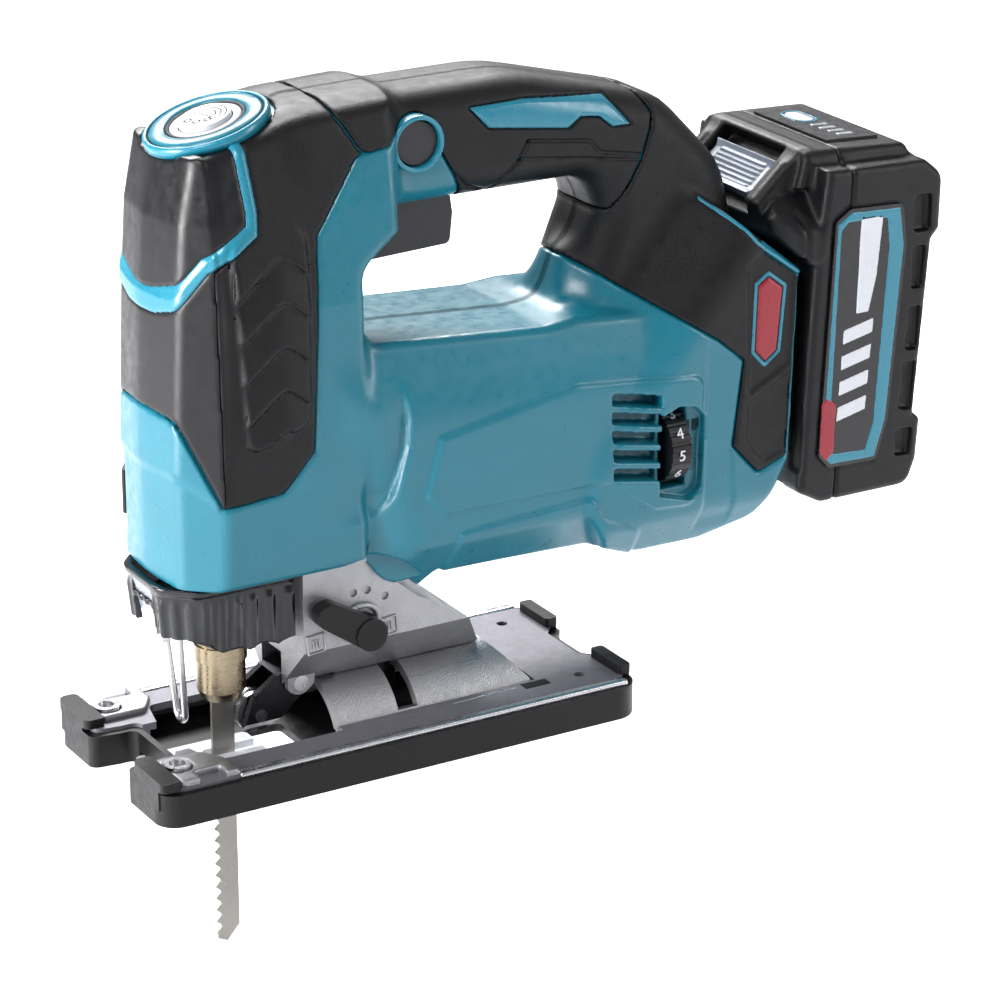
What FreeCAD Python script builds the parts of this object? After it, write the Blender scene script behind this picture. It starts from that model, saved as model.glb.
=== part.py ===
import FreeCAD, Part

import math
import os

# Cordless D-handle jigsaw, built as an assembly of separate pieces (millimetres).
#
# Frame: the origin is where the blade's axis crosses the flat underside of the shoe.
# -X points forward (the way the saw cuts), +X to the battery, +Y to the tool's right
# side, +Z up.  The two housing halves meet on the plane y = 0.
#
# Every size that drives the model is a cell of the sheet "Sizes".  Pieces are made from
# sketches and primitives whose lengths and places are bound to those cells.

V = FreeCAD.Vector
doc = FreeCAD.newDocument("Jigsaw")

SIZES = {
    # shoe
    "shoe_front": -38.5,
    "shoe_rear": 129.0,
    "shoe_width": 77.0,
    "cover_floor": 2.5,
    "cover_rim_top": 10.3,
    "plate_top": 11.5,
    "plate_wall": 2.4,
    "notch_width": 25.0,
    "blade_slot": 5.6,
    "bevel_axis_z": 1.5,
    "tunnel_radius": 21.0,
    "tunnel_wall": 3.0,
    "tunnel_clearance": 0.3,
    # drive train
    "motor_z": 92.0,
    "gear_z": 117.0,
    "gear_module": 1.0,
    "pinion_teeth": 10,
    "gear_teeth": 40,
    "crank_throw": 13.0,
    "crank_pin_radius": 2.8,
    "rod_radius": 4.5,
    "rod_bottom": 27.0,
    "rod_top": 166.0,
    "rod_clearance": 0.05,
    "shaft_radius": 4.0,
    "shaft_clearance": 0.03,
    "gear_shaft_radius": 5.0,
    # blade and roller
    "blade_thickness": 1.2,
    "blade_width": 7.5,
    "blade_tip_z": -63.0,
    "blade_top_z": 27.0,
    "roller_radius": 6.5,
    "roller_x": 10.3,
    "roller_z": 14.0,
    "arm_pivot_x": 23.0,
    "arm_pivot_z": 23.0,
    # housing
    "nose_half_width": 29.0,
    "motor_half_width": 33.0,
    "handle_half_width": 17.0,
    "rear_half_width": 34.5,
    "wall": 2.5,
    "skin": 2.0,
    # controls
    "button_radius": 6.6,
    "dial_radius": 12.0,
    "dial_width": 7.0,
    "dial_x": 143.2,
    "dial_z": 84.5,
    "lever_pivot_x": 37.0,
    "lever_pivot_z": 43.5,
    "panel_tilt": 16.0,
    "trigger_pivot_x": 42.0,
    "trigger_pivot_z": 176.2,
    # battery
    "battery_half_width": 37.0,
    "battery_wall": 2.2,
    "cell_radius": 9.0,
    "cell_length": 65.0,
    "rail_lean": 0.042,
}

sheet = doc.addObject("Spreadsheet::Sheet", "Sizes")
for row, (alias, value) in enumerate(SIZES.items(), start=1):
    sheet.set("A%d" % row, alias)
    sheet.set("B%d" % row, str(value))
    sheet.setAlias("B%d" % row, alias)
doc.recompute()


def size(alias):
    """Value of one cell of the sheet."""
    return float(getattr(sheet, alias))


def bind(obj, prop, expression):
    """Bind a property to an expression; a cell is written Sizes.alias."""
    obj.setExpression(prop, str(expression))


# ---------------------------------------------------------------- building blocks

PLANES = {
    "XY": FreeCAD.Rotation(),
    "XZ": FreeCAD.Rotation(V(1, 0, 0), 90),
    "YZ": FreeCAD.Rotation(V(1, 1, 1), 120),
}
NORMALS = {"XY": V(0, 0, 1), "XZ": V(0, 1, 0), "YZ": V(1, 0, 0)}
NORMAL_AXIS = {"XY": "z", "XZ": "y", "YZ": "x"}
AXIS_ROTATION = {
    "X": FreeCAD.Rotation(V(0, 1, 0), 90),
    "Y": FreeCAD.Rotation(V(1, 0, 0), -90),
    "Z": FreeCAD.Rotation(),
}


def outline_edges(corners):
    """Edges of a closed outline.  A corner is (u, v) or (u, v, radius of its arc)."""
    count = len(corners)
    arrivals, departures, edges = [], [], []
    for index, corner in enumerate(corners):
        here = V(corner[0], corner[1], 0)
        radius = corner[2] if len(corner) > 2 else 0
        before = corners[index - 1]
        after = corners[(index + 1) % count]
        back = (V(before[0], before[1], 0) - here).normalize()
        ahead = (V(after[0], after[1], 0) - here).normalize()
        if not radius:
            arrivals.append(here)
            departures.append(here)
            continue
        half_angle = back.getAngle(ahead) / 2
        reach = radius / math.tan(half_angle)
        middle = (back + ahead).normalize()
        crown = here + middle * (radius / math.sin(half_angle) - radius)
        arrivals.append(here + back * reach)
        departures.append(here + ahead * reach)
        edges.append(Part.Arc(arrivals[-1], crown, departures[-1]))
    for index in range(count):
        start, end = departures[index], arrivals[(index + 1) % count]
        if start.distanceToPoint(end) > 1e-6:
            edges.append(Part.LineSegment(start, end))
    return edges


def sketch_on(label, plane, corners, circles=()):
    """A sketch on a coordinate plane holding one outline and any round holes."""
    sketch = doc.addObject("Sketcher::SketchObject", label + "_outline")
    sketch.Placement = FreeCAD.Placement(V(), PLANES[plane])
    for edge in outline_edges(corners):
        sketch.addGeometry(edge)
    for u, v, radius in circles:
        sketch.addGeometry(Part.Circle(V(u, v, 0), V(0, 0, 1), radius))
    return sketch


def prism(label, plane, corners, low, high, circles=()):
    """The outline, extruded along the plane's normal from low to high (expressions)."""
    sketch = sketch_on(label, plane, corners, circles)
    solid = doc.addObject("Part::Extrusion", label)
    solid.Base = sketch
    solid.DirMode = "Custom"
    solid.Dir = NORMALS[plane]
    solid.Solid = True
    bind(sketch, "Placement.Base." + NORMAL_AXIS[plane], low)
    bind(solid, "LengthFwd", "(%s) - (%s)" % (high, low))
    return solid


def box(label, low, high):
    """A block between two corners, each coordinate an expression."""
    block = doc.addObject("Part::Box", label)
    for axis, side, start, end in zip("xyz", ("Length", "Width", "Height"), low, high):
        bind(block, "Placement.Base." + axis, start)
        bind(block, side, "(%s) - (%s)" % (end, start))
    return block


def rod(label, axis, start, length, radius):
    """A cylinder along X, Y or Z from the point start."""
    cylinder = doc.addObject("Part::Cylinder", label)
    cylinder.Placement = FreeCAD.Placement(V(), AXIS_ROTATION[axis])
    for letter, value in zip("xyz", start):
        bind(cylinder, "Placement.Base." + letter, value)
    bind(cylinder, "Height", length)
    bind(cylinder, "Radius", radius)
    return cylinder


def ring(label, axis, start, length, radius, bore):
    """A tube along X, Y or Z: a cylinder with a bore."""
    outer = rod(label + "_outer", axis, start, length, radius)
    inner = rod(label + "_bore", axis, start, length, bore)
    return cut(label, outer, inner)


def cut(label, base, *tools):
    """The base less the tools, taken away one after another."""
    for index, tool in enumerate(tools, start=1):
        last = index == len(tools)
        result = doc.addObject("Part::Cut", label if last else "%s_step_%d" % (label, index))
        result.Base = base
        result.Tool = tool
        base = result
    return base


def fuse(label, *shapes):
    """All the shapes as one solid."""
    result = doc.addObject("Part::MultiFuse", label)
    result.Shapes = list(shapes)
    result.Refine = True
    return result


def common(label, *shapes):
    """What the shapes share."""
    result = doc.addObject("Part::MultiCommon", label)
    result.Shapes = list(shapes)
    result.Refine = True
    return result


def group(label, *shapes):
    """Separate solids kept together in one node."""
    result = doc.addObject("Part::Compound", label)
    result.Links = list(shapes)
    return result


def mirrored(label, source, normal=V(0, 1, 0)):
    """The same piece on the other side of the tool."""
    result = doc.addObject("Part::Mirroring", label)
    result.Source = source
    result.Normal = normal
    return result


NODES = []


def node(shape):
    """Hand a finished piece in as a node; its Label is the node's name."""
    NODES.append(shape)
    return shape


# ---------------------------------------------------------------- outlines (x, z, radius)

GEAR_FOOT = [(17.4, 18), (17.4, 67), (36, 67), (57, 49.5), (62, 47), (75, 38.6), (87, 23), (87, 18)]

NOSE = [(-24, 66.2, 3), (-24, 193, 5), (20, 204, 8), (48, 205), (48, 168), (37, 160), (37, 66.2)]
MOTOR = [(24, 68), (31, 68), (52.5, 51), (58, 51), (58, 59, 2), (86, 57, 10), (120, 55.5, 8),
         (134, 49.5, 8), (150, 49.5), (150, 128), (112, 131, 6), (100, 130, 8), (41, 134),
         (24, 142)]
HANDLE = [(18, 203.5), (24, 207, 8), (96, 207, 60), (149, 193, 25), (172, 169, 25),
          (176.5, 150), (150, 120), (114, 128), (127, 160, 8), (121, 171, 7), (36, 171, 4),
          (18, 190)]
REAR = [(112, 132), (120, 150), (151, 166), (166, 156, 4), (172, 150, 4), (189, 136.5, 2),
        (186.4, 74), (176, 55, 8), (157, 49.5, 10), (134, 49.5, 8), (120, 55.5), (112, 70)]


def hollow(label, corners, half_width, distance):
    """The cavity of a shell: the outline moved inwards by the wall, and the sides too."""
    face = doc.addObject("Part::Face", label + "_face")
    face.Sources = [sketch_on(label, "XZ", corners)]
    smaller = doc.addObject("Part::Offset2D", label + "_inset")
    smaller.Source = face
    smaller.Join = 2
    bind(smaller, "Value", "-(%s)" % distance)
    solid = doc.addObject("Part::Extrusion", label)
    solid.Base = smaller
    solid.DirMode = "Custom"
    solid.Dir = V(0, 1, 0)
    solid.Solid = True
    bind(solid, "LengthFwd", "%s - (%s)" % (half_width, distance))
    bind(solid, "LengthRev", "%s - (%s)" % (half_width, distance))
    return solid


# ---------------------------------------------------------------- gear housing and shoe

FOOT_SECTION = [(-5.4, 18), (-5.4, 22.1), (-22, 38.7), (-22, 68), (22, 68), (22, 38.7),
                (5.4, 22.1), (5.4, 18)]


def gear_housing():
    """Aluminium casting: gear box, two plunger guides and the foot that sits on the shoe."""
    foot_side = prism("foot_side", "XZ", GEAR_FOOT, -22, 22)
    foot_section = prism("foot_section", "YZ", FOOT_SECTION, 17.4, 87)
    foot = common("foot", foot_side, foot_section)
    seat = rod("foot_seat", "X", (0, 0, "Sizes.bevel_axis_z"), 120,
               "Sizes.tunnel_radius + Sizes.tunnel_clearance")
    gear_box = box("gear_box", (8, -25, 66), (37.5, 25, 152.5))
    chamber = box("gear_chamber", (7.6, -22.5, 84.5), (29.5, 22.5, 149.8))
    upper_relief = box("gear_box_relief", (34.2, -26, 129), (40, 26, 160))
    lower_guide = box("lower_guide", (-9, -10, 71), (9, 10, 86))
    upper_guide = box("upper_guide", (-9, -10, 152), (12, 10, 165))
    lower_bore = rod("lower_guide_bore", "Z", (0, 0, 70), 17, 7)
    upper_bore = rod("upper_guide_bore", "Z", (0, 0, 151), 15, 7)
    crank_seat = rod("crank_bearing_seat", "X", (28, 0, "Sizes.gear_z"), 12, 9.5)
    motor_seat = rod("front_bearing_seat", "X", (28, 0, "Sizes.motor_z"), 12, 8)
    arm_recess = box("arm_recess", (16, -6.5, 10), (36, 6.5, 34))
    lever_bore = rod("lever_bore", "Y", ("Sizes.lever_pivot_x", -23, "Sizes.lever_pivot_z"), 14, 3.05)
    bolt_bore = rod("clamp_bolt_bore", "Z", (55, 0, 15), 27, 3)
    dimples = [rod("detent", "Y", ("Sizes.lever_pivot_x + 12*cos(%d)" % angle, -23,
                                   "Sizes.lever_pivot_z + 12*sin(%d)" % angle), 1.8, 1.3)
               for angle in (46, 79, 102)]
    body = fuse("gear_housing_body", foot, gear_box, lower_guide, upper_guide)
    lug_left = prism("arm_lug", "XZ", ARM_LUG, -8.6, -6.5)
    lug_right = mirrored("arm_lug_right", lug_left)
    lug_bore = rod("arm_pin_bore", "Y", ("Sizes.arm_pivot_x", -10, "Sizes.arm_pivot_z"), 20, 2.5)
    opened = cut("gear_housing_open", body, seat, chamber, upper_relief, lower_bore, upper_bore,
                 crank_seat, motor_seat, arm_recess, lever_bore, bolt_bore, group("detents", *dimples))
    lugged = fuse("gear_housing_lugged", opened, lug_left, lug_right)
    node(cut("gear_housing", lugged, lug_bore))


ARM_LUG = [(18.5, 21, 2.5), (23, 18.5, 4), (27.5, 22, 2.5), (29, 45), (18.5, 45)]


def guide_bushes():
    """Bronze bushes that the plunger runs in."""
    node(ring("lower_plunger_bush", "Z", (0, 0, 71), 15, 7, "Sizes.rod_radius + Sizes.rod_clearance"))
    node(ring("upper_plunger_bush", "Z", (0, 0, 152.5), 12.5, 7,
              "Sizes.rod_radius + Sizes.rod_clearance"))


SHOE_FRONT, SHOE_REAR = size("shoe_front"), size("shoe_rear")
HALF_SHOE, HALF_NOTCH = size("shoe_width") / 2, size("notch_width") / 2


def shoe_outline(margin, notch_end):
    """Plan of the shoe: two rounded lobes in front, a shallow recess behind."""
    front, rear = SHOE_FRONT + margin, SHOE_REAR - margin
    side, notch = HALF_SHOE - margin, HALF_NOTCH + margin
    return [(front, -side, 7), (rear, -side, 9), (rear, -12 - margin, 2), (rear - 4, -7 - margin, 3),
            (rear - 4, 7 + margin, 3), (rear, 12 + margin, 2), (rear, side, 9), (front, side, 7),
            (front, notch, 3), (front + 9, notch - 1, 2), (notch_end, notch - 1, 3),
            (notch_end, 1 - notch, 3), (front + 9, 1 - notch, 2), (front, -notch, 3)]


def shoe():
    """Shoe: plastic cover under a formed metal plate, with the bevel tunnel on top."""
    cover = prism("cover_block", "XY", shoe_outline(0, -24), 0, "Sizes.cover_rim_top")
    tray = prism("cover_tray", "XY", shoe_outline(2.2, -22), "Sizes.cover_floor", 12)
    window = prism("cover_window", "XY", [(-26, -9, 2), (24, -9, 2), (24, 9, 2), (-26, 9, 2)], -1, 4)
    bolt_hole = rod("cover_bolt_hole", "Z", (55, 0, -1), 5, 7)
    tabs = []
    for side, label in ((-1, "left"), (1, "right")):
        low, high = sorted((side * 13.5, side * 31))
        tabs.append(prism("cover_tab_" + label, "XY", [(124.5, low, 1), (129, low, 1), (129, high, 1),
                                                      (124.5, high, 1)], "Sizes.plate_top", 14.5))
        tabs.append(box("cover_tab_post_" + label, ("Sizes.shoe_rear - 2.2", low + 1, 5),
                        ("Sizes.shoe_rear", high - 1, 13)))
        low, high = sorted((side * 16, side * 37.5))
        tabs.append(prism("cover_block_" + label, "XY", [(-38.5, low, 2), (-32, low, 1),
                                                        (-32, high, 2), (-38.5, high, 3)],
                          "Sizes.plate_top", 14.5))
        tabs.append(box("cover_block_post_" + label, ("Sizes.shoe_front", low + 3, 5),
                        ("Sizes.shoe_front + 2.2", high - 3, 13)))
    hollowed = cut("cover_hollowed", cover, tray, window, bolt_hole)
    node(fuse("shoe_cover", hollowed, *tabs))

    insert = prism("insert_plate", "XY", [(-26, -9, 2), (12, -9, 2), (12, 9, 2), (-26, 9, 2)], 0,
                   "Sizes.cover_floor")
    slot = prism("insert_slot", "XY", [(-6, -2.8, 1), (13, -2.8), (13, 2.8), (-6, 2.8, 1)], -1, 4)
    node(cut("anti_splinter_insert", insert, slot))

    outer = prism("plate_block", "XY", shoe_outline(2.4, -21.6), "Sizes.cover_floor",
                  "Sizes.plate_top")
    inner = prism("plate_hollow", "XY", shoe_outline(4.8, -19.2), "Sizes.cover_floor - 1",
                  "Sizes.plate_top - Sizes.plate_wall")
    blade_window = prism("plate_window", "XY", [(-23, -11.4), (-17, -11.4), (-14, -23.5, 3),
                                               (29.5, -23.5), (29.5, 23.5), (-14, 23.5, 3), (-17, 11.4),
                                               (-23, 11.4)], 0, 14)
    tunnel_gap = prism("plate_tunnel_gap", "XY", [(24, -20.5), (100, -20.5), (100, 20.5),
                                                 (24, 20.5)], 0, 14)
    fence_slots = [box("fence_slot", (-23, low, 4.2), (-12, low + 5, 8.4)) for low in (-39, 34)]
    screw_holes = [rod("plate_screw_hole", "Z", (-27.5, y, 2), 12, 2.6) for y in (-25, 25)]
    rear_holes = [rod("plate_rear_hole", "Z", (114, y, 2), 12, 1.8) for y in (-24, 24)]
    openings = group("plate_openings", *screw_holes, *rear_holes, *fence_slots)
    node(cut("shoe_plate", outer, inner, blade_window, tunnel_gap, openings))

    axis = (20, 0, "Sizes.bevel_axis_z")
    arch = ring("tunnel_arch", "X", axis, 90, "Sizes.tunnel_radius",
                "Sizes.tunnel_radius - Sizes.tunnel_wall")
    arch_side = prism("tunnel_side", "XZ", [(30, 9.1), (99, 9.1), (99, 11.5), (88, 24), (30, 24)],
                      -22, 22)
    flanges = [box("tunnel_flange", (30, low, 6.4), (99, low + 8, "Sizes.plate_top - Sizes.plate_wall"))
               for low in (-25.5, 17.5)]
    bolt_slot = box("tunnel_bolt_slot", (51.5, -18.6, 10.6), (58.5, 18.6, 24))
    arch_part = common("tunnel_arch_part", arch, arch_side)
    whole = fuse("tunnel_whole", arch_part, *flanges)
    node(cut("bevel_saddle", whole, bolt_slot))

    screws = []
    for y in (-25, 25):
        screws.append(rod("shoe_screw_shank", "Z", (-27.5, y, "Sizes.cover_floor"), 9, 2.5))
        screws.append(ring("shoe_screw_head", "Z", (-27.5, y, "Sizes.plate_top"), 3, 4.2, 2.5))
        screws.append(rod("shoe_screw_core", "Z", (-27.5, y, "Sizes.plate_top"), 1.2, 2.5))
    pairs = [fuse("shoe_screw_%d" % index, *screws[3 * index:3 * index + 3]) for index in (0, 1)]
    node(group("shoe_screws", *pairs))


def bevel_bolt():
    """Hex-socket bolt that clamps the gear housing's foot onto the tunnel."""
    shank = rod("bevel_bolt_shank", "Z", (55, 0, 17), 25, 3)
    head = rod("bevel_bolt_head", "Z", (55, 0, 12.5), 5, 5)
    socket = prism("bevel_bolt_socket", "XY", [(55 + 2.3 * math.cos(math.radians(60 * k)),
                                               2.3 * math.sin(math.radians(60 * k)))
                                              for k in range(6)], 12, 15.5)
    body = fuse("bevel_bolt_body", shank, head)
    node(cut("bevel_clamp_bolt", body, socket))


# ---------------------------------------------------------------- drive train


def toothed_wheel(label, teeth, low, high, root, tip, turn, holes):
    """Spur wheel in a PartDesign body: a hub pad, one tooth and its polar pattern."""
    body = doc.addObject("PartDesign::Body", label)
    plane = [f for f in body.Origin.OriginFeatures if f.Role == "YZ_Plane"][0]

    def flat_sketch(suffix):
        sketch = body.newObject("Sketcher::SketchObject", label + suffix)
        sketch.AttachmentSupport = [(plane, "")]
        sketch.MapMode = "FlatFace"
        bind(sketch, "AttachmentOffset.Base.z", low)
        return sketch

    hub_sketch = flat_sketch("_hub_sketch")
    hub_sketch.addGeometry(Part.Circle(V(), V(0, 0, 1), root))
    for y, z, radius in holes:
        hub_sketch.addGeometry(Part.Circle(V(y, z, 0), V(0, 0, 1), radius))
    hub = body.newObject("PartDesign::Pad", label + "_hub")
    hub.Profile = hub_sketch
    bind(hub, "Length", "(%s) - (%s)" % (high, low))
    tooth_sketch = flat_sketch("_tooth_sketch")
    half_root, half_tip = 0.95, 0.35
    corners = []
    for reach, half in ((root - 0.4, half_root), (tip, half_tip), (tip, -half_tip),
                        (root - 0.4, -half_root)):
        angle = math.radians(turn)
        corners.append((reach * math.cos(angle) - half * math.sin(angle),
                        reach * math.sin(angle) + half * math.cos(angle)))
    for edge in outline_edges(corners):
        tooth_sketch.addGeometry(edge)
    tooth = body.newObject("PartDesign::Pad", label + "_tooth")
    tooth.Profile = tooth_sketch
    bind(tooth, "Length", "(%s) - (%s)" % (high, low))
    doc.recompute()
    pattern = body.newObject("PartDesign::PolarPattern", label + "_teeth")
    pattern.Originals = [tooth]
    pattern.Axis = (hub_sketch, ["N_Axis"])
    pattern.Angle = 360
    bind(pattern, "Occurrences", teeth)
    body.Tip = pattern
    return body


def drive_train():
    """Rotor, pinion, crank gear, plunger, yoke and counterweight."""
    module = size("gear_module")
    pitch_pinion = module * size("pinion_teeth") / 2
    pitch_gear = module * size("gear_teeth") / 2
    throw, pin_radius = size("crank_throw"), size("crank_pin_radius")
    pinion = toothed_wheel("motor_pinion", "Sizes.pinion_teeth", 13.5, 22, pitch_pinion - 1.2,
                           pitch_pinion + 0.8, 90, [(0, 0, 2.5)])
    bind(pinion, "Placement.Base.z", "Sizes.motor_z")
    node(pinion)
    half_pitch = 180 / size("gear_teeth")
    gear = toothed_wheel("crank_gear", "Sizes.gear_teeth", 14, 21.5, pitch_gear - 1.2,
                         pitch_gear + 0.8, half_pitch, [(0, 0, size("gear_shaft_radius")),
                                                       (0, -throw, pin_radius), (0, 12, 3.5),
                                                       (12, 0, 3.5), (-12, 0, 3.5)])
    bind(gear, "Placement.Base.z", "Sizes.gear_z")
    node(gear)
    node(rod("crank_pin", "X", (9.6, 0, "Sizes.gear_z - Sizes.crank_throw"), 11.9,
             "Sizes.crank_pin_radius"))
    node(rod("crank_shaft", "X", (13, 0, "Sizes.gear_z"), 25.5, "Sizes.gear_shaft_radius"))

    thin = rod("rotor_shaft_tip", "X", (12.8, 0, "Sizes.motor_z"), 12, 2.5)
    thick = rod("rotor_shaft_body", "X", (24.5, 0, "Sizes.motor_z"), 97, "Sizes.shaft_radius")
    node(fuse("rotor_shaft", thin, thick))
    node(ring("rotor_magnets", "X", (56, 0, "Sizes.motor_z"), 44, 12.6, "Sizes.shaft_radius"))
    stator = ring("stator_core", "X", (54, 0, "Sizes.motor_z"), 48, 24, 13.6)
    slots = [rod("stator_slot", "X", (53, "18.5*cos(%d)" % angle, "Sizes.motor_z + 18.5*sin(%d)" % angle),
                 50, 2.6) for angle in range(0, 360, 60)]
    node(cut("motor_stator", stator, group("stator_slots", *slots)))
    node(group("stator_coils", *[rod("stator_coil", "X", (52, "18.5*cos(%d)" % angle,
                                                         "Sizes.motor_z + 18.5*sin(%d)" % angle), 52, 2.6)
                                 for angle in range(0, 360, 60)]))
    hub = ring("fan_hub", "X", (40, 0, "Sizes.motor_z"), 9, 8, "Sizes.shaft_radius")
    disc = ring("fan_disc", "X", (47.5, 0, "Sizes.motor_z"), 1.5, 21, "Sizes.shaft_radius")
    blades = []
    for index in range(11):
        blade = prism("fan_blade", "YZ", [(6.5, -0.6), (20.5, 2.4), (20.5, 3.8), (6.5, 0.8)], 40.5, 48)
        blade.Placement = FreeCAD.Placement(V(0, 0, size("motor_z")),
                                            FreeCAD.Rotation(V(1, 0, 0), 360 * index / 11))
        blades.append(blade)
    node(fuse("cooling_fan", hub, disc, *blades))
    node(ring("front_motor_bearing", "X", (30, 0, "Sizes.motor_z"), 7.5, 8,
              "Sizes.shaft_radius + Sizes.shaft_clearance"))
    node(ring("rear_motor_bearing", "X", (110, 0, "Sizes.motor_z"), 7, 8,
              "Sizes.shaft_radius + Sizes.shaft_clearance"))
    bracket = ring("rear_bracket_disc", "X", (108, 0, "Sizes.motor_z"), 10, 24, 8)
    lip = ring("rear_bracket_lip", "X", (117, 0, "Sizes.motor_z"), 2.5, 12, 6)
    node(fuse("rear_motor_bracket", bracket, lip))
    node(ring("crank_bearing", "X", (29.5, 0, "Sizes.gear_z"), 8, 9.5,
              "Sizes.gear_shaft_radius + Sizes.shaft_clearance"))

    node(rod("plunger_rod", "Z", (0, 0, "Sizes.rod_bottom"), "Sizes.rod_top - Sizes.rod_bottom",
             "Sizes.rod_radius"))
    yoke_z = "Sizes.gear_z - Sizes.crank_throw"
    clamp = prism("yoke_clamp", "XY", [(-7.5, -7, 3), (9, -7), (9, 7), (-7.5, 7, 3)],
                  yoke_z + " - 8", yoke_z + " + 8")
    plate = box("yoke_plate", (5.2, -20.5, yoke_z + " - 8"), (9, 20.5, yoke_z + " + 8"))
    slot = box("yoke_slot", (5, -17, yoke_z + " - 3.1"), (10, 17, yoke_z + " + 3.1"))
    bore = rod("yoke_bore", "Z", (0, 0, yoke_z + " - 9"), 18, "Sizes.rod_radius")
    solid = fuse("yoke_body", clamp, plate)
    node(cut("scotch_yoke", solid, slot, bore))
    weight = box("counterweight_block", (10.2, -21.5, "Sizes.gear_z - 19"),
                 (12.6, 21.5, "Sizes.gear_z + 32"))
    opening = box("counterweight_window", (10, -17, "Sizes.gear_z - 16.5"),
                  (13, 17, "Sizes.gear_z + 29.5"))
    node(cut("counterweight", weight, opening))


# ---------------------------------------------------------------- blade end


def blade_end():
    """Tool-less blade holder, the blade, the roller arm and what guards them."""
    sleeve = rod("holder_sleeve", "Z", (0, 0, 24), 17, 7.6)
    collar = rod("holder_collar", "Z", (0, 0, 34), 5, 8.2)
    nose = doc.addObject("Part::Cone", "holder_nose")
    for prop, value in (("Radius1", 6.2), ("Radius2", 7.6), ("Height", 3.0), ("Placement.Base.z", 21)):
        bind(nose, prop, value)
    body = fuse("holder_body", sleeve, collar, nose)
    rod_bore = rod("holder_bore", "Z", (0, 0, "Sizes.rod_bottom"), 20, "Sizes.rod_radius")
    blade_slot = box("holder_slot", ("-Sizes.blade_width/2", "-Sizes.blade_thickness/2", 20),
                     ("Sizes.blade_width/2", "Sizes.blade_thickness/2", 28))
    node(cut("blade_holder", body, rod_bore, blade_slot))

    half = size("blade_width") / 2
    tip, top = size("blade_tip_z"), size("blade_top_z")
    pitch, depth = 4.0, 1.6
    outline = [(half, top), (half, -58), (-0.6, tip), (-half, tip + 1.5)]
    teeth = int((-tip - 7) / pitch)
    for index in range(teeth):
        z = tip + 3 + pitch * index
        outline.append((-half, z))
        outline.append((-half + depth, z + 1.6))
        outline.append((-half + depth * 0.7, z + pitch * 0.8))
    outline += [(-half, -2), (-half, top)]
    blade = prism("saw_blade", "XZ", outline, "-Sizes.blade_thickness/2", "Sizes.blade_thickness/2")
    node(blade)

    x, z = "Sizes.roller_x", "Sizes.roller_z"
    wheel = rod("roller_wheel", "Y", (x, -3, z), 6, "Sizes.roller_radius")
    groove = ring("roller_groove", "Y", (x, -0.9, z), 1.8, 8, "Sizes.roller_radius - 0.9")
    hole = rod("roller_hole", "Y", (x, -4, z), 8, 2.05)
    node(cut("guide_roller", wheel, groove, hole))
    node(rod("roller_pin", "Y", (x, -6.8, z), 13.6, 2.0))
    arm_side = prism("roller_arm_side", "XZ", ARM, -6.2, 6.2)
    arm_section = prism("roller_arm_section", "YZ", [(-6.2, 40), (-6.2, 11.8), (-3, 8.6), (3, 8.6),
                                                    (6.2, 11.8), (6.2, 40)], 0, 30)
    arm = common("roller_arm_body", arm_side, arm_section)
    gap = prism("roller_arm_gap", "XZ", [(0, 6), (17.6, 6), (17.6, 24), (13, 30), (0, 30)], -3.8, 3.8)
    roller_bore = rod("arm_roller_bore", "Y", (x, -10, z), 20, 2.0)
    pivot_bore = rod("arm_pivot_bore", "Y", ("Sizes.arm_pivot_x", -10, "Sizes.arm_pivot_z"), 20, 2.55)
    node(cut("roller_arm", arm, gap, roller_bore, pivot_bore))
    node(rod("arm_pivot_pin", "Y", ("Sizes.arm_pivot_x", -8.8, "Sizes.arm_pivot_z"), 17.6, 2.5))

    wire = []
    for side in (-1, 1):
        leg = doc.addObject("Part::Feature", "guard_leg")
        upper, lower = V(-17, side * 6.0, 58), V(-14, side * 3.0, 19)
        line = Part.Wire([Part.LineSegment(upper, lower).toShape()])
        start = Part.Wire([Part.Circle(upper, lower - upper, 1.1).toShape()])
        leg.Shape = line.makePipeShell([start], True, True)
        wire.append(leg)
    bow = doc.addObject("Part::Feature", "guard_bow")
    arc = Part.Arc(V(-14, -3, 19), V(-13.8, 0, 16), V(-14, 3, 19)).toShape()
    start = Part.Wire([Part.Circle(V(-14, -3, 19), arc.tangentAt(arc.FirstParameter), 1.1).toShape()])
    bow.Shape = Part.Wire([arc]).makePipeShell([start], True, True)
    wire.append(bow)
    joints = [doc.addObject("Part::Sphere", "guard_joint_%d" % index) for index in (0, 1)]
    for ball, side in zip(joints, (-1, 1)):
        bind(ball, "Radius", 1.12)
        ball.Placement = FreeCAD.Placement(V(-14, side * 3.0, 19), FreeCAD.Rotation())
    node(fuse("wire_guard", *wire, *joints))

    shell = prism("chip_cover_outer", "XY", [(-27, -12, 8), (-17, -22, 6), (15.5, -22), (15.5, 22),
                                            (-17, 22, 6), (-27, 12, 8)], 42, 65.9)
    core = prism("chip_cover_inner", "XY", [(-25, -11.2, 7), (-16, -20, 5), (17, -20), (17, 20),
                                           (-16, 20, 5), (-25, 11.2, 7)], 41, 68)
    slots = [box("chip_cover_slot", (-15 + 6 * index, -23, 41), (-12.6 + 6 * index, 23, 50))
             for index in range(5)]
    ports = [rod("chip_cover_port", "Z", (-17, side * 6, 56), 4, 1.4) for side in (-1, 1)]
    bridge = box("chip_cover_bridge", (-25.5, -9, 57), (-14.5, 9, 59.5))
    cover = cut("chip_cover_shell", shell, core, group("chip_cover_slots", *slots))
    whole = fuse("chip_cover_whole", cover, bridge)
    node(cut("chip_cover", whole, group("chip_cover_ports", *ports)))


ARM = [(4.4, 10.3, 1.5), (9, 6.6, 3), (14, 9, 2), (26.5, 20, 3), (27, 26, 3), (21.5, 28, 2),
       (16, 26, 2), (8, 20.5, 1.5)]


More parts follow.
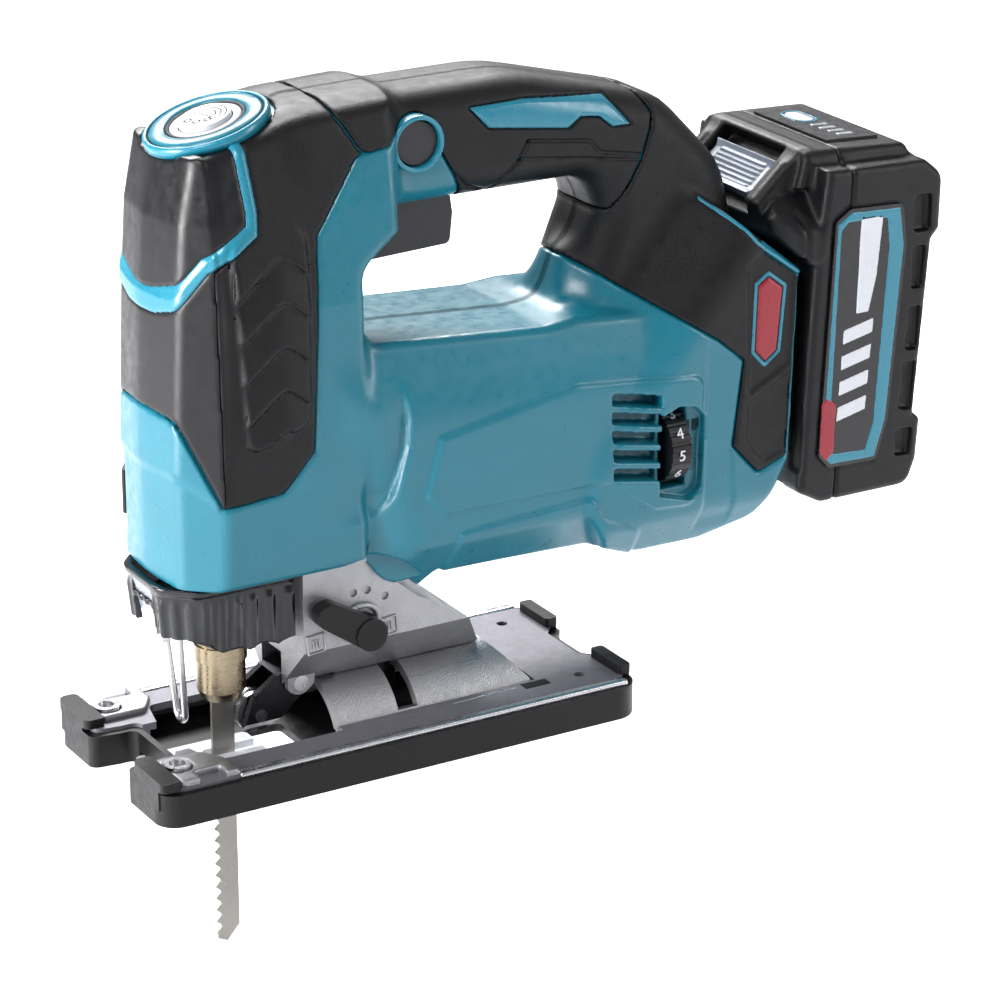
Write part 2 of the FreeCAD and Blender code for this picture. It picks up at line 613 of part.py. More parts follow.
def controls():
    """Trigger, lock button, speed dial, orbital lever, display and blade release lever."""
    lever = prism("trigger_lever", "XZ", [(38.5, 154, 2), (77, 155.5, 2), (78, 165, 2), (76.5, 175),
                                         (66, 175), (66, 180), (60, 180), (60, 176), (38.5, 176)],
                  -7.5, 7.5)
    boss = rod("trigger_boss", "Y", ("Sizes.trigger_pivot_x", -7.5, "Sizes.trigger_pivot_z"), 15, 3.2)
    pin = rod("trigger_pin", "Y", ("Sizes.trigger_pivot_x", -11.8, "Sizes.trigger_pivot_z"), 23.6, 1.8)
    node(fuse("trigger", lever, boss, pin))
    head = rod("lock_button_head", "Y", (59, -19.8, 192), 7, "Sizes.button_radius")
    stem = rod("lock_button_stem", "Y", (59, -13, 192), 31, 3)
    node(fuse("lock_button", head, stem))
    wheel = rod("speed_dial_wheel", "X", ("Sizes.dial_x - Sizes.dial_width/2", -25, "Sizes.dial_z"),
                "Sizes.dial_width", "Sizes.dial_radius")
    bore = rod("speed_dial_bore", "X", (138, -25, "Sizes.dial_z"), 12, 2.05)
    grips = [rod("speed_dial_notch", "X", (139, "-25 + 12.4*cos(%d)" % angle,
                                          "Sizes.dial_z + 12.4*sin(%d)" % angle), 9, 0.8)
             for angle in range(0, 360, 15)]
    node(cut("speed_dial", wheel, bore, group("speed_dial_notches", *grips)))
    pin = rod("dial_pin", "X", (137, -25, "Sizes.dial_z"), 14, 2.0)
    case = box("dial_pot_case", (148.5, -31, 76), (156, -16, 93))
    node(fuse("speed_pot", pin, case))
    hub = rod("lever_hub", "Y", ("Sizes.lever_pivot_x", -29.5, "Sizes.lever_pivot_z"), 6.8, 5.2)
    arm = prism("lever_arm", "XZ", [(34.5, 39, 1), (40, 42), (38, 48.4, 2), (24, 56.5, 3), (18.5, 54.5, 3),
                                   (19.5, 49.5, 3)], -29, -24)
    spindle = rod("lever_spindle", "Y", ("Sizes.lever_pivot_x", -23.2, "Sizes.lever_pivot_z"), 13.4, 3)
    node(fuse("orbital_lever", hub, arm, spindle))
    disc = rod("display_disc", "Z", (0, 0, 0), 4, 19.2)
    well = rod("display_well", "Z", (0, 0, 2), 3, 8.3)
    panel = cut("display_panel", disc, well)
    button = rod("mode_button", "Z", (0, 0, 0), 1.7, 8)
    tilt = FreeCAD.Placement(V(0.9, 0, 199.6), FreeCAD.Rotation(V(0, 1, 0), -size("panel_tilt")))
    panel.Placement = tilt
    button.Placement = tilt
    bind(button, "Placement.Base.x", "0.9 - 2.8*sin(Sizes.panel_tilt)")
    bind(button, "Placement.Base.z", "199.6 + 2.8*cos(Sizes.panel_tilt)")
    node(panel)
    node(button)
    slab = prism("release_slab", "XY", [(-9.5, 29.6), (-9.5, 33.4, 1), (-12.5, 33.6, 2), (-21.5, 20.6, 1),
                                       (-18.6, 18.9, 1), (-11.6, 29.3)], 78, 92)
    stub = rod("release_stub", "Z", (-10, 31.5, 75), 20, 1.2)
    node(fuse("blade_release_lever", slab, stub))
    node(box("trigger_switch", (84, -9, 177), (112, 9, 196)))
    node(box("controller", (123, -22, 62), (134, 22, 120)))
    node(rod("led_lens", "Z", (-1, -16.3, 64), 6, 2.9))


# ---------------------------------------------------------------- housing


def housing():
    """Two plastic half housings, their rubber skins and the screws between them."""
    zones = [("nose", NOSE, "Sizes.nose_half_width"), ("motor", MOTOR, "Sizes.motor_half_width"),
             ("handle", HANDLE, "Sizes.handle_half_width"), ("rear", REAR, "Sizes.rear_half_width")]
    solids, cavities = [], []
    for label, corners, half in zones:
        solids.append(prism(label + "_zone", "XZ", corners, "-" + half, half))
        cavities.append(hollow(label + "_cavity", corners, half, "Sizes.wall"))
    plan = prism("nose_plan", "XY", [(-24, -10, 5), (-11, -29, 5), (50, -29), (50, 29), (-11, 29, 5),
                                    (-24, 10, 5)], 60, 210)
    inner_plan = prism("nose_inner_plan", "XY", [(-21.5, -9, 4), (-9.6, -26.5, 4), (50, -26.5),
                                                (50, 26.5), (-9.6, 26.5, 4), (-21.5, 9, 4)], 60, 210)
    motor_zone = solids[1]
    solids[0] = common("nose_faceted", solids[0], plan)
    cavities[0] = common("nose_cavity_faceted", cavities[0], inner_plan)
    openings = [
        prism("foot_opening", "XZ", [(17, 17), (17, 70.6), (37.7, 70.6), (40, 67), (59, 51.4), (59, 17)],
              -22.4, 22.4),
        box("gear_box_opening", (7.6, -25.3, 60), (37.9, 25.3, 72)),
        box("plunger_opening", (-13, -11.5, 60), (10, 11.5, 72)),
        box("trigger_opening", (37.5, -8, 150), (79.5, 8, 178)),
        rod("button_opening", "Y", (59, -20, 192), 20, 7),
        rod("stem_opening", "Y", (59, -1, 192), 22, 3.3),
        box("dial_opening", (138.7, -40, 72), (147.7, -30, 97)),
        rod("display_opening", "Z", (0, 0, 195), 20, 17),
        rod("led_opening", "Z", (-1, -16.3, 60), 12, 2.9),
        box("rail_opening", (180, -27, 78), (192, 27, 130.5)),
        prism("display_seat", "XZ", [(-25, 191.8), (22, 205.2), (22, 215), (-25, 215)], -30, 30),
    ]
    vents = [prism("vent", "XZ", [(117, z), (135, z - 2.6), (135, z), (117, z + 2.6)], -40, 40)
             for z in range(83, 110, 6)]
    pivot = ("Sizes.lever_pivot_x", -33, "Sizes.lever_pivot_z")
    lever_swing = rod("lever_swing", "Y", ("Sizes.lever_pivot_x", -45, "Sizes.lever_pivot_z"), 21.4, 24)
    pocket_disc = rod("lever_pocket_disc", "Y", pivot, 10.4, 26)
    pocket = cut("lever_pocket", common("lever_pocket_wall", pocket_disc, motor_zone), lever_swing)
    body = fuse("housing_body", *solids)
    cavity = fuse("housing_cavity", *cavities)
    shell = cut("housing_shell", body, cavity, lever_swing)
    posts, bores, sinks = [], [], []
    for x, z, reach in SCREW_PLACES:
        posts.append(rod("screw_post", "Y", (x, -reach, z), 2 * reach, 3.6))
        bores.append(rod("screw_bore", "Y", (x, -40, z), 52, 1.6))
        sinks.append(rod("screw_sink", "Y", (x, -40, z), 28, 3.0))
    lugs = [box("release_lug", (-12.5, 28.5, z), (-7.5, 33.8, z + 2.7)) for z in (75, 92.3)]
    lugs += [box("trigger_lug", (38.5, y, 172), (45.5, y + 3.6, 179)) for y in (-12, 8.4)]
    trigger_bore = rod("trigger_bore", "Y", ("Sizes.trigger_pivot_x", -12.5, "Sizes.trigger_pivot_z"), 25,
                       1.85)
    lug_bore = rod("release_lug_bore", "Z", (-10, 31.5, 70), 30, 1.25)
    whole = fuse("housing_whole", shell, pocket, *posts, *lugs)
    drilled = cut("housing_drilled", whole, group("screw_bores", *bores), group("screw_sinks", *sinks),
                  group("vents", *vents), lug_bore, trigger_bore, *openings)
    left_half = box("left_half", (-60, -60, 30), (260, 0, 260))
    right_half = box("right_half", (-60, 0, 30), (260, 60, 260))
    node(common("housing_left", drilled, left_half))
    node(common("housing_right", drilled, right_half))
    screws = []
    for index, (x, z, reach) in enumerate(SCREW_PLACES):
        shank = rod("housing_screw_shank", "Y", (x, -12, z), 24, 1.6)
        head = rod("housing_screw_head", "Y", (x, -14.4, z), 2.4, 2.9)
        screws.append(fuse("housing_screw_%d" % index, shank, head))
    node(group("housing_screws", *screws))

    grip = prism("grip_skin_left", "XZ", GRIP, "-Sizes.handle_half_width - Sizes.skin",
                 "-Sizes.handle_half_width", [(59, 192, 8.5)])
    grip.Label = "grip_left"
    node(grip)
    grip_right = mirrored("grip_right", grip)
    node(grip_right)
    pad = prism("nose_pad_left", "XZ", NOSE_PAD, "-Sizes.nose_half_width - Sizes.skin",
                "-Sizes.nose_half_width")
    node(group("nose_pads", pad, mirrored("nose_pad_right", pad)))
    node(prism("nose_front_pad", "XZ", [(-26, 126), (-24, 122), (-24, 187), (-26, 184)], -9, 9))
    badge = prism("badge_left", "XZ", [(175, 137), (180.5, 134), (179, 111), (174.5, 107), (170, 112),
                                      (171, 134)], -36, -34.5)
    node(group("rear_badges", badge, mirrored("badge_right", badge)))


# x, z and half length of each post that a housing screw runs through
SCREW_PLACES = [(-13, 172, 25), (43, 188, 16), (143, 178, 16), (44, 126, 32), (104, 125.3, 32),
                (168, 66, 33.5)]
GRIP = [(48.5, 204.5), (95, 205, 50), (147, 191, 22), (169, 167, 10), (166.5, 158.5), (151.5, 168.5),
        (133, 160.5), (124, 174, 5), (48.5, 177)]
NOSE_PAD = [(-5, 171, 2), (20, 167, 2), (20, 107, 3), (8, 97, 2), (-7, 100, 2)]


# ---------------------------------------------------------------- battery


def slope_point(along, out):
    """A point of the latch's sloping face: distance up the slope and out of it."""
    run, rise = 0.7593, 0.6508
    return (178.2 + run * along - rise * out, 157.4 + rise * along + run * out)


def battery():
    """Slide-on battery: two half cases, ten cells, latch, terminals and gauge."""
    main = [(187.8, 62.5, 3), (197, 57.5, 3), (231, 57.5, 5), (234.5, 66), (240.5, 160.5, 6),
            (233.5, 166, 3), (196, 167.4), (192, 137)]
    front_top = [(191, 137.6), (179.5, 148.6), (177.2, 157.2), (193.5, 172), (197, 172), (197, 137.6)]
    block = prism("battery_main", "XZ", main, "-Sizes.battery_half_width", "Sizes.battery_half_width")
    crown = prism("battery_top", "XZ", [(190, 160), (236, 160), (231, 170, 3), (196, 172), (193, 171.5)],
                  -29, 29)
    hood = prism("battery_hood", "XZ", front_top, -25, 25)
    flank = prism("battery_flank", "XZ", [(190.8, 137.5), (179.3, 147.4), (178.8, 153), (187, 163.5),
                                         (197, 163.5), (197, 140)], "-Sizes.battery_half_width",
                  "Sizes.battery_half_width")
    solid = fuse("battery_solid", block, crown, hood, flank)
    channel = prism("battery_channel", "XZ", [(180, 50), (193.3, 50), (197, 141), (180, 141)], -27, 27)
    lips = []
    for low in (-27, 22.8):
        lips.append(prism("battery_lip", "XZ", [(187.9, 63), (189.7, 63), (193, 140.5), (191.2, 140.5)],
                          low, low + 4.2))
    latch_well = prism("latch_well", "XZ", [slope_point(-3, -5), slope_point(20, -5),
                                           slope_point(20, 6), slope_point(-3, 6)], -17.5, 17.5)
    cells_bay = prism("cell_bay", "XZ", [(195.5, 60.5), (232.2, 60.5), (237.7, 155), (237.7, 159),
                                        (199.5, 159)], -34, 34)
    carved = cut("battery_carved", solid, channel, latch_well, cells_bay)
    lipped = fuse("battery_lipped", carved, *lips)
    front_region = prism("battery_front_region", "XZ", [(100, 40), (201, 40), (206, 200), (100, 200)],
                         -50, 50)
    rear_region = prism("battery_rear_region", "XZ", [(201, 40), (300, 40), (300, 200), (206, 200)],
                        -50, 50)
    node(common("battery_case_front", lipped, front_region))
    node(common("battery_case_rear", lipped, rear_region))
    cells = []
    for layer in range(5):
        for column in range(2):
            z = 70.2 + 18.7 * layer
            x = 205.1 + 18.1 * column + size("rail_lean") * (z - 70.2)
            cells.append(rod("cell", "Y", (x, "-Sizes.cell_length/2", z), "Sizes.cell_length",
                             "Sizes.cell_radius"))
    node(group("battery_cells", *cells))
    button = prism("latch_face", "XZ", [slope_point(1, -4.6), slope_point(15, -4.6), slope_point(15, 0.8),
                                       slope_point(1, 0.8)], -16.5, 16.5)
    button.Label = "battery_latch_button"
    node(button)
    node(prism("fuel_gauge", "XZ", [(206, 171.45), (226, 170.3), (226, 171.2), (206, 172.35)], -20, 20))
    node(prism("battery_terminals", "XZ", [(193.7, 86), (194.7, 86), (195.45, 104), (194.45, 104)],
               -14, 14))
    label = prism("battery_label_left", "XZ", [(198.5, 151, 2), (204, 154.5, 2), (224, 153.5, 2),
                                              (226, 140, 2), (221, 82, 2), (217, 69, 2), (198.5, 69.5, 2),
                                              (194.5, 74, 2)], -37.7, -37)
    node(group("battery_labels", label, mirrored("battery_label_right", label)))


def battery_rail():
    """T-shaped rail and terminal block in the housing's rear, which the battery slides on."""
    web = prism("rail_web", "XZ", [(182, 79), (191.3, 79), (193.4, 129.5), (182, 129.5)], -21.8, 21.8)
    base = box("rail_base", (178, -31.5, 78.5), (182, 31.5, 130))
    flange = prism("rail_flange", "XZ", [(191.1, 79), (193, 79), (195.1, 129.5), (193.2, 129.5)],
                   -26.2, 26.2)
    node(fuse("battery_rail", base, web, flange))


gear_housing()
guide_bushes()
shoe()
bevel_bolt()
drive_train()
blade_end()
controls()
housing()
battery()
battery_rail()
doc.recompute()

# ---------------------------------------------------------------- checks and files

for obj in doc.Objects:
    if "Invalid" in obj.State or "Error" in obj.State:
        raise RuntimeError("%s failed: %s" % (obj.Label, obj.State))
labels = [obj.Label for obj in NODES]
if len(set(labels)) != len(labels):
    raise RuntimeError("two nodes share a label")
for obj in NODES:
    if obj.Shape.isNull() or not obj.Shape.isValid() or not obj.Shape.Solids:
        raise RuntimeError("%s has no valid solid" % obj.Label)

os.makedirs("parts", exist_ok=True)
for obj in NODES:
    obj.Shape.exportStep("parts/%s.step" % obj.Label)
    print("%-24s %2d solid(s) %10.1f mm3" % (obj.Label, len(obj.Shape.Solids), obj.Shape.Volume))
print(len(NODES), "nodes")
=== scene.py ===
import functools
import math

import bpy
import numpy as np
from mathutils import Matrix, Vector


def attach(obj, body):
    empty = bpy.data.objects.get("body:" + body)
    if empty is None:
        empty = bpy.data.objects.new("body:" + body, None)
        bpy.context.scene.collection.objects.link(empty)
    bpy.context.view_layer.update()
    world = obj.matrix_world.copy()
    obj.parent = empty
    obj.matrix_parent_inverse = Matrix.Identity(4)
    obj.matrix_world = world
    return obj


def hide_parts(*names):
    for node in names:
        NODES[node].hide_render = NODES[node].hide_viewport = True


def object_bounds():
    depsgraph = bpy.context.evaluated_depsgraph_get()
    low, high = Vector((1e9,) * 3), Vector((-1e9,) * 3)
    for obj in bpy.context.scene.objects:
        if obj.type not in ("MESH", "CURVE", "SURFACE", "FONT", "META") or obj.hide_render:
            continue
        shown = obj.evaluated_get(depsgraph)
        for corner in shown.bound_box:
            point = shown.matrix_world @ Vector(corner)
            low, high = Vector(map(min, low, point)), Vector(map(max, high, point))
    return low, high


# Looks of a cordless D-handle jigsaw.  Lengths in the shape code are millimetres in the
# CAD frame: -X forward, +Y right, +Z up, origin on the sole under the blade.  Moulded
# pieces are distance fields, negative inside, meshed on a grid by surface nets.

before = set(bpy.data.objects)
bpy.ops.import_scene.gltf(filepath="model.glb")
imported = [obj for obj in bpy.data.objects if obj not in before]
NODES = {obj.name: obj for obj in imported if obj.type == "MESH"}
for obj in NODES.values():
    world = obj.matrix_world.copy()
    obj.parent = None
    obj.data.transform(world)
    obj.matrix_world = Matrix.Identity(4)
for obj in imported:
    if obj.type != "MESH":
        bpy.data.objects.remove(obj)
cad_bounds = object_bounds()

MM = 0.001
FINE = 0.7  # grid pitch of the housing

# ---------------------------------------------------------------- fields in the plane


def rounded(corners):
    """Points of a closed outline whose corners are (u, v) or (u, v, radius)."""
    points = []
    count = len(corners)
    for index, corner in enumerate(corners):
        here = np.array(corner[:2], float)
        radius = corner[2] if len(corner) > 2 else 0
        if not radius:
            points.append(here)
            continue
        back = np.array(corners[index - 1][:2], float) - here
        ahead = np.array(corners[(index + 1) % count][:2], float) - here
        back /= np.linalg.norm(back)
        ahead /= np.linalg.norm(ahead)
        half = math.acos(max(-1.0, min(1.0, float(back @ ahead)))) / 2
        reach = radius / math.tan(half)
        start, end = here + back * reach, here + ahead * reach
        middle = (back + ahead) / np.linalg.norm(back + ahead)
        centre = here + middle * radius / math.sin(half)
        first, last = start - centre, end - centre
        sweep = math.atan2(first[0] * last[1] - first[1] * last[0], float(first @ last))
        steps = max(3, int(abs(sweep) * 6))
        for step in range(steps + 1):
            angle = sweep * step / steps
            cos, sin = math.cos(angle), math.sin(angle)
            points.append(centre + np.array([[cos, -sin], [sin, cos]]) @ first)
    return np.array(points)


def to_line(u, v, points, closed=False):
    """Distance from a line through the points."""
    points = np.asarray(points, float)
    best = np.full(np.broadcast(u, v).shape, 1e9, np.float32)
    last = len(points) if closed else len(points) - 1
    for index in range(last):
        a, b = points[index], points[(index + 1) % len(points)]
        edge = b - a
        length = float(edge @ edge)
        if length < 1e-12:
            continue
        along = np.clip(((u - a[0]) * edge[0] + (v - a[1]) * edge[1]) / length, 0, 1)
        best = np.minimum(best, np.hypot(u - a[0] - along * edge[0], v - a[1] - along * edge[1]))
    return best


def polygon(u, v, corners):
    """Signed distance from a closed outline, negative inside."""
    points = rounded(corners)
    inside = np.zeros(np.broadcast(u, v).shape, bool)
    for index in range(len(points)):
        a, b = points[index - 1], points[index]
        if a[1] == b[1]:
            continue
        crosses = (a[1] > v) != (b[1] > v)
        inside ^= crosses & (u < (b[0] - a[0]) * (v - a[1]) / (b[1] - a[1]) + a[0])
    distance = to_line(u, v, points, closed=True)
    return np.where(inside, -distance, distance).astype(np.float32)


def rectangle(u, v, low, high):
    """Signed distance from an upright rectangle."""
    return polygon(u, v, [low, (low[0], high[1]), high, (high[0], low[1])])


def slab(outline, across, half, rim):
    """Prism: an outline's field, out to half each side of the middle, with round rims."""
    a, b = outline + rim, np.abs(across) - half + rim
    return np.minimum(np.maximum(a, b), 0) + np.hypot(np.maximum(a, 0), np.maximum(b, 0)) - rim


def join(a, b, reach):
    """Both shapes, with a fillet of about that reach between them."""
    share = np.clip(0.5 + 0.5 * (b - a) / reach, 0, 1)
    return b * (1 - share) + a * share - reach * share * (1 - share)


def meet(a, b, reach):
    """What both shapes cover, with a rounded edge."""
    return -join(-a, -b, reach)


def ramp(value, start, width):
    """0 up to the start and 1 past the width; a negative width runs downwards."""
    return np.clip((value - start) / width, 0, 1)


def step(value, width):
    """0 outside and 1 inside an outline, changing over the width."""
    t = np.clip(0.5 - value / width, 0, 1)
    return t * t * (3 - 2 * t)


def ridge(distance, width):
    """1 on a line and 0 beyond the width from it, with a rounded profile."""
    t = np.clip(distance / width, 0, 1)
    return 1 - t * t * (3 - 2 * t)


def along_tube(x, y, z, ends, radius):
    """A round bar between two points."""
    a, b = np.array(ends[0], float), np.array(ends[1], float)
    edge = b - a
    t = (x - a[0]) * edge[0] + (y - a[1]) * edge[1] + (z - a[2]) * edge[2]
    t = np.clip(t / (edge @ edge), 0, 1)
    return np.sqrt((x - a[0] - t * edge[0]) ** 2 + (y - a[1] - t * edge[1]) ** 2
                   + (z - a[2] - t * edge[2]) ** 2) - radius


# ---------------------------------------------------------------- meshing


def space(low, high, pitch):
    """Grid coordinates that reach a little beyond the two corners."""
    axes = [np.arange(a - 2 * pitch, b + 3 * pitch, pitch, dtype=np.float32)
            for a, b in zip(low, high)]
    return axes[0][:, None, None], axes[1][None, :, None], axes[2][None, None, :]


CORNERS = [(i, j, k) for i in (0, 1) for j in (0, 1) for k in (0, 1)]


def surface_net(field, low, pitch):
    """Points and four-sided faces of the field's zero surface."""
    inside = field < 0
    nx, ny, nz = field.shape

    def part(values, i, j, k):
        return values[i:nx - 1 + i, j:ny - 1 + j, k:nz - 1 + k]

    count = np.zeros((nx - 1, ny - 1, nz - 1), np.int8)
    for corner in CORNERS:
        count += part(inside, *corner)
    active = (count > 0) & (count < 8)
    place = np.full(active.shape, -1, np.int64)
    place[active] = np.arange(int(active.sum()))
    cells = np.argwhere(active)
    total = np.zeros((len(cells), 3))
    crossings = np.zeros(len(cells))
    for first in CORNERS:
        for axis in range(3):
            if first[axis]:
                continue
            second = tuple(1 if n == axis else first[n] for n in range(3))
            a, b = part(field, *first)[active], part(field, *second)[active]
            crossed = (a < 0) != (b < 0)
            t = np.where(crossed, a / np.where(crossed, a - b, 1), 0)
            point = np.array(first, float)[None, :] + t[:, None] * np.eye(3)[axis][None, :]
            total += point * crossed[:, None]
            crossings += crossed
    points = np.array(low)[None, :] + pitch * (cells + total / crossings[:, None])
    faces = []
    for axis in range(3):
        u, v = (axis + 1) % 3, (axis + 2) % 3
        size = [nx, ny, nz]
        size[axis] -= 1
        here = [slice(0, n) if index == axis else slice(1, n - 1) for index, n in enumerate(size)]
        there = list(here)
        there[axis] = slice(1, size[axis] + 1)
        a, b = inside[tuple(here)], inside[tuple(there)]
        edges = np.argwhere(a != b)
        start = edges.copy()
        start[:, u] += 1
        start[:, v] += 1
        quad = []
        for du, dv in ((-1, -1), (0, -1), (0, 0), (-1, 0)):
            cell = start.copy()
            cell[:, u] += du
            cell[:, v] += dv
            quad.append(place[cell[:, 0], cell[:, 1], cell[:, 2]])
        quad = np.stack(quad, 1)
        outward = a[edges[:, 0], edges[:, 1], edges[:, 2]]
        quad[~outward] = quad[~outward][:, ::-1]
        faces.append(quad)
    return points, np.concatenate(faces)


def build(name, points, faces, material, body, replaces=(), smooth=True):
    """A mesh piece from points in millimetres."""
    mesh = bpy.data.meshes.new(name)
    mesh.from_pydata((np.asarray(points) * MM).tolist(), [], [list(map(int, f)) for f in faces])
    mesh.validate()
    mesh.polygons.foreach_set("use_smooth", [smooth] * len(mesh.polygons))
    obj = bpy.data.objects.new(name, mesh)
    bpy.context.scene.collection.objects.link(obj)
    mesh.materials.append(material)
    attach(obj, body)
    if replaces:
        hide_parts(*replaces)
    return obj


def mould(name, field, grid, pitch, material, body, replaces=(), flip=False):
    """A piece meshed from its field; flip puts it on the other side of the tool."""
    low = [float(axis.ravel()[0]) for axis in grid]
    points, faces = surface_net(np.broadcast_to(field, np.broadcast(*grid).shape), low, pitch)
    if flip:
        points[:, 1] *= -1
        faces = faces[:, ::-1]
    return build(name, points, faces, material, body, replaces)


# ---------------------------------------------------------------- materials


def srgb(*values):
    """Linear colour from 0-255 display values."""
    parts = [v / 255 for v in values]
    linear = [p / 12.92 if p <= 0.04045 else ((p + 0.055) / 1.055) ** 2.4 for p in parts]
    return (*linear, 1.0)


BROAD_MM = 18  # size of the uneven tone
CLOUD_MM = 3.5  # size of the uneven gloss
GRAIN_HEIGHT = 0.0004  # metres


def material(name, colour, rough, metal=0.0, grain=0.4, grain_depth=0.08, mottle=0.12,
             rough_range=0.08, coat=0.0, stretch=(1, 1, 1), dark=0.75, alpha=1.0, specular=0.5):
    """Plastic, rubber or metal with fine grain, uneven tone and uneven gloss."""
    mat = bpy.data.materials.new(name)
    mat.use_nodes = True
    nodes, links = mat.node_tree.nodes, mat.node_tree.links
    shader = nodes["Principled BSDF"]
    shader.inputs["Metallic"].default_value = metal
    shader.inputs["Coat Weight"].default_value = coat
    shader.inputs["Specular IOR Level"].default_value = specular
    shader.inputs["Coat Roughness"].default_value = 0.15
    shader.inputs["Alpha"].default_value = alpha
    place = nodes.new("ShaderNodeTexCoord")
    scale = nodes.new("ShaderNodeMapping")
    scale.inputs["Scale"].default_value = stretch
    links.new(place.outputs["Object"], scale.inputs["Vector"])

    def noise(size_mm, detail):
        texture = nodes.new("ShaderNodeTexNoise")
        texture.inputs["Scale"].default_value = 1 / (size_mm * MM)
        texture.inputs["Detail"].default_value = detail
        links.new(scale.outputs["Vector"], texture.inputs["Vector"])
        return texture.outputs["Fac"]

    def spread(source, low, high, to_low=0.0, to_high=1.0):
        reach = nodes.new("ShaderNodeMapRange")
        reach.inputs["From Min"].default_value = low
        reach.inputs["From Max"].default_value = high
        reach.inputs["To Min"].default_value = to_low
        reach.inputs["To Max"].default_value = to_high
        links.new(source, reach.inputs["Value"])
        return reach.outputs["Result"]

    def blend(kind, factor, a, b):
        mix = nodes.new("ShaderNodeMix")
        mix.data_type = "RGBA"
        mix.blend_type = kind
        for socket, value in (("Factor", factor), ("A", a), ("B", b)):
            if isinstance(value, bpy.types.NodeSocket):
                links.new(value, mix.inputs[socket])
            else:
                mix.inputs[socket].default_value = value
        return mix.outputs["Result"]

    duller = tuple(c * (1 - mottle) for c in colour[:3]) + (1,)
    brighter = tuple(min(1, c * (1 + mottle)) for c in colour[:3]) + (1,)
    tone = blend("MIX", spread(noise(BROAD_MM, 4), 0.3, 0.7), duller, brighter)
    fine = noise(grain, 3)
    tint = blend("MULTIPLY", 0.5, tone, spread(fine, 0.35, 0.6, dark))
    links.new(tint, shader.inputs["Base Color"])
    gloss = spread(noise(CLOUD_MM, 5), 0.3, 0.7, rough - rough_range, rough + rough_range)
    links.new(gloss, shader.inputs["Roughness"])
    bump = nodes.new("ShaderNodeBump")
    bump.inputs["Strength"].default_value = grain_depth
    bump.inputs["Distance"].default_value = GRAIN_HEIGHT
    links.new(fine, bump.inputs["Height"])
    links.new(bump.outputs["Normal"], shader.inputs["Normal"])
    return mat


TEAL = material("teal_moulding", srgb(10, 100, 118), 0.34, grain=0.35, grain_depth=0.05,
                mottle=0.05, dark=0.97, coat=0.1)
# Lighter, glossier copy of the shell's teal: painted highlight on the raised trims, the display rim
# and the button ring; printed teal on the battery's labels and gauge.
TEAL_PRINT_AND_HIGHLIGHT = material("teal_print_and_painted_highlight", srgb(24, 114, 136), 0.3, grain=0.3, grain_depth=0.04,
                     mottle=0.05, dark=0.97, coat=0.2)
RUBBER = material("black_overmould", srgb(12, 12, 14), 0.42, grain=0.28, grain_depth=0.35,
                  mottle=0.2, specular=0.26)
GLOSS = material("black_gloss", srgb(14, 14, 17), 0.36, grain=0.3, grain_depth=0.12,
                 mottle=0.15, specular=0.35)
BLACK = material("black_plastic", srgb(11, 11, 12), 0.4, grain=0.3, grain_depth=0.2,
                 mottle=0.15, specular=0.26)
# Black for the bezel, the groove and the printed marks; as the sheets behind the vents and in the
# fence slot it is painted shade.
BLACK_AND_SHADE = material("black_and_painted_shade", srgb(8, 8, 10), 0.6, grain=0.5, grain_depth=0.2, specular=0.2)
TRIGGER_GREY = material("trigger_plastic", srgb(36, 36, 40), 0.42, grain=0.3, grain_depth=0.2,
                        mottle=0.1, specular=0.4)
CASE = material("battery_plastic", srgb(10, 11, 13), 0.4, grain=0.35, grain_depth=0.3,
                mottle=0.15, specular=0.28)
LATCH = material("latch_plastic", srgb(118, 126, 140), 0.36, grain=0.4, grain_depth=0.12,
                 mottle=0.06, dark=0.9)
CAST = material("cast_aluminium", srgb(160, 160, 163), 0.42, metal=0.9, grain=0.5,
                grain_depth=0.5, mottle=0.08, rough_range=0.1, dark=0.82)
PLATE = material("plated_steel", srgb(112, 110, 117), 0.46, metal=0.5, grain=0.35,
                 grain_depth=0.3, mottle=0.1, dark=0.8)
STEEL = material("ground_steel", srgb(200, 200, 203), 0.26, metal=1.0, grain=0.25, grain_depth=0.08,
                 mottle=0.06, stretch=(1, 1, 0.15), dark=0.9)
BLADE = material("blade_steel", srgb(150, 147, 142), 0.34, metal=0.7, grain=0.3, grain_depth=0.08,
                 mottle=0.06, stretch=(1, 1, 0.2), dark=0.9)
NICKEL = material("satin_nickel", srgb(150, 137, 114), 0.28, metal=1.0, grain=0.3, grain_depth=0.03,
                  mottle=0.1, stretch=(1, 1, 3), dark=0.85)
DARK_STEEL = material("dark_steel", srgb(52, 52, 56), 0.34, metal=0.8, grain=0.4, grain_depth=0.15)
BRONZE = material("sintered_bronze", srgb(176, 132, 78), 0.42, metal=1.0, grain=0.3, grain_depth=0.2)
COPPER = material("enamelled_copper", srgb(178, 96, 52), 0.3, metal=1.0, grain=0.6, grain_depth=0.3,
                  stretch=(0.2, 1, 1))
IRON = material("laminated_iron", srgb(84, 84, 88), 0.5, metal=0.8, grain=0.5, grain_depth=0.4,
                stretch=(4, 0.3, 0.3))
SMOKE = material("smoked_clear", srgb(5, 7, 13), 0.14, grain=2.0, grain_depth=0.03, mottle=0.1,
                 rough_range=0.04, dark=0.9, alpha=0.92, coat=0.25, specular=0.4)
CLEAR = material("clear_lens", srgb(168, 176, 190), 0.1, grain=1.0, grain_depth=0.03, mottle=0.03,
                 rough_range=0.03, dark=0.95, alpha=0.5, coat=0.6)
WHITE = material("white_print", srgb(196, 198, 204), 0.3, grain=0.3, grain_depth=0.05,
                 mottle=0.03, dark=0.95)
SILVER = material("silver_film", srgb(160, 162, 168), 0.3, metal=0.3, grain=0.3,
                  grain_depth=0.05, mottle=0.04, dark=0.9)
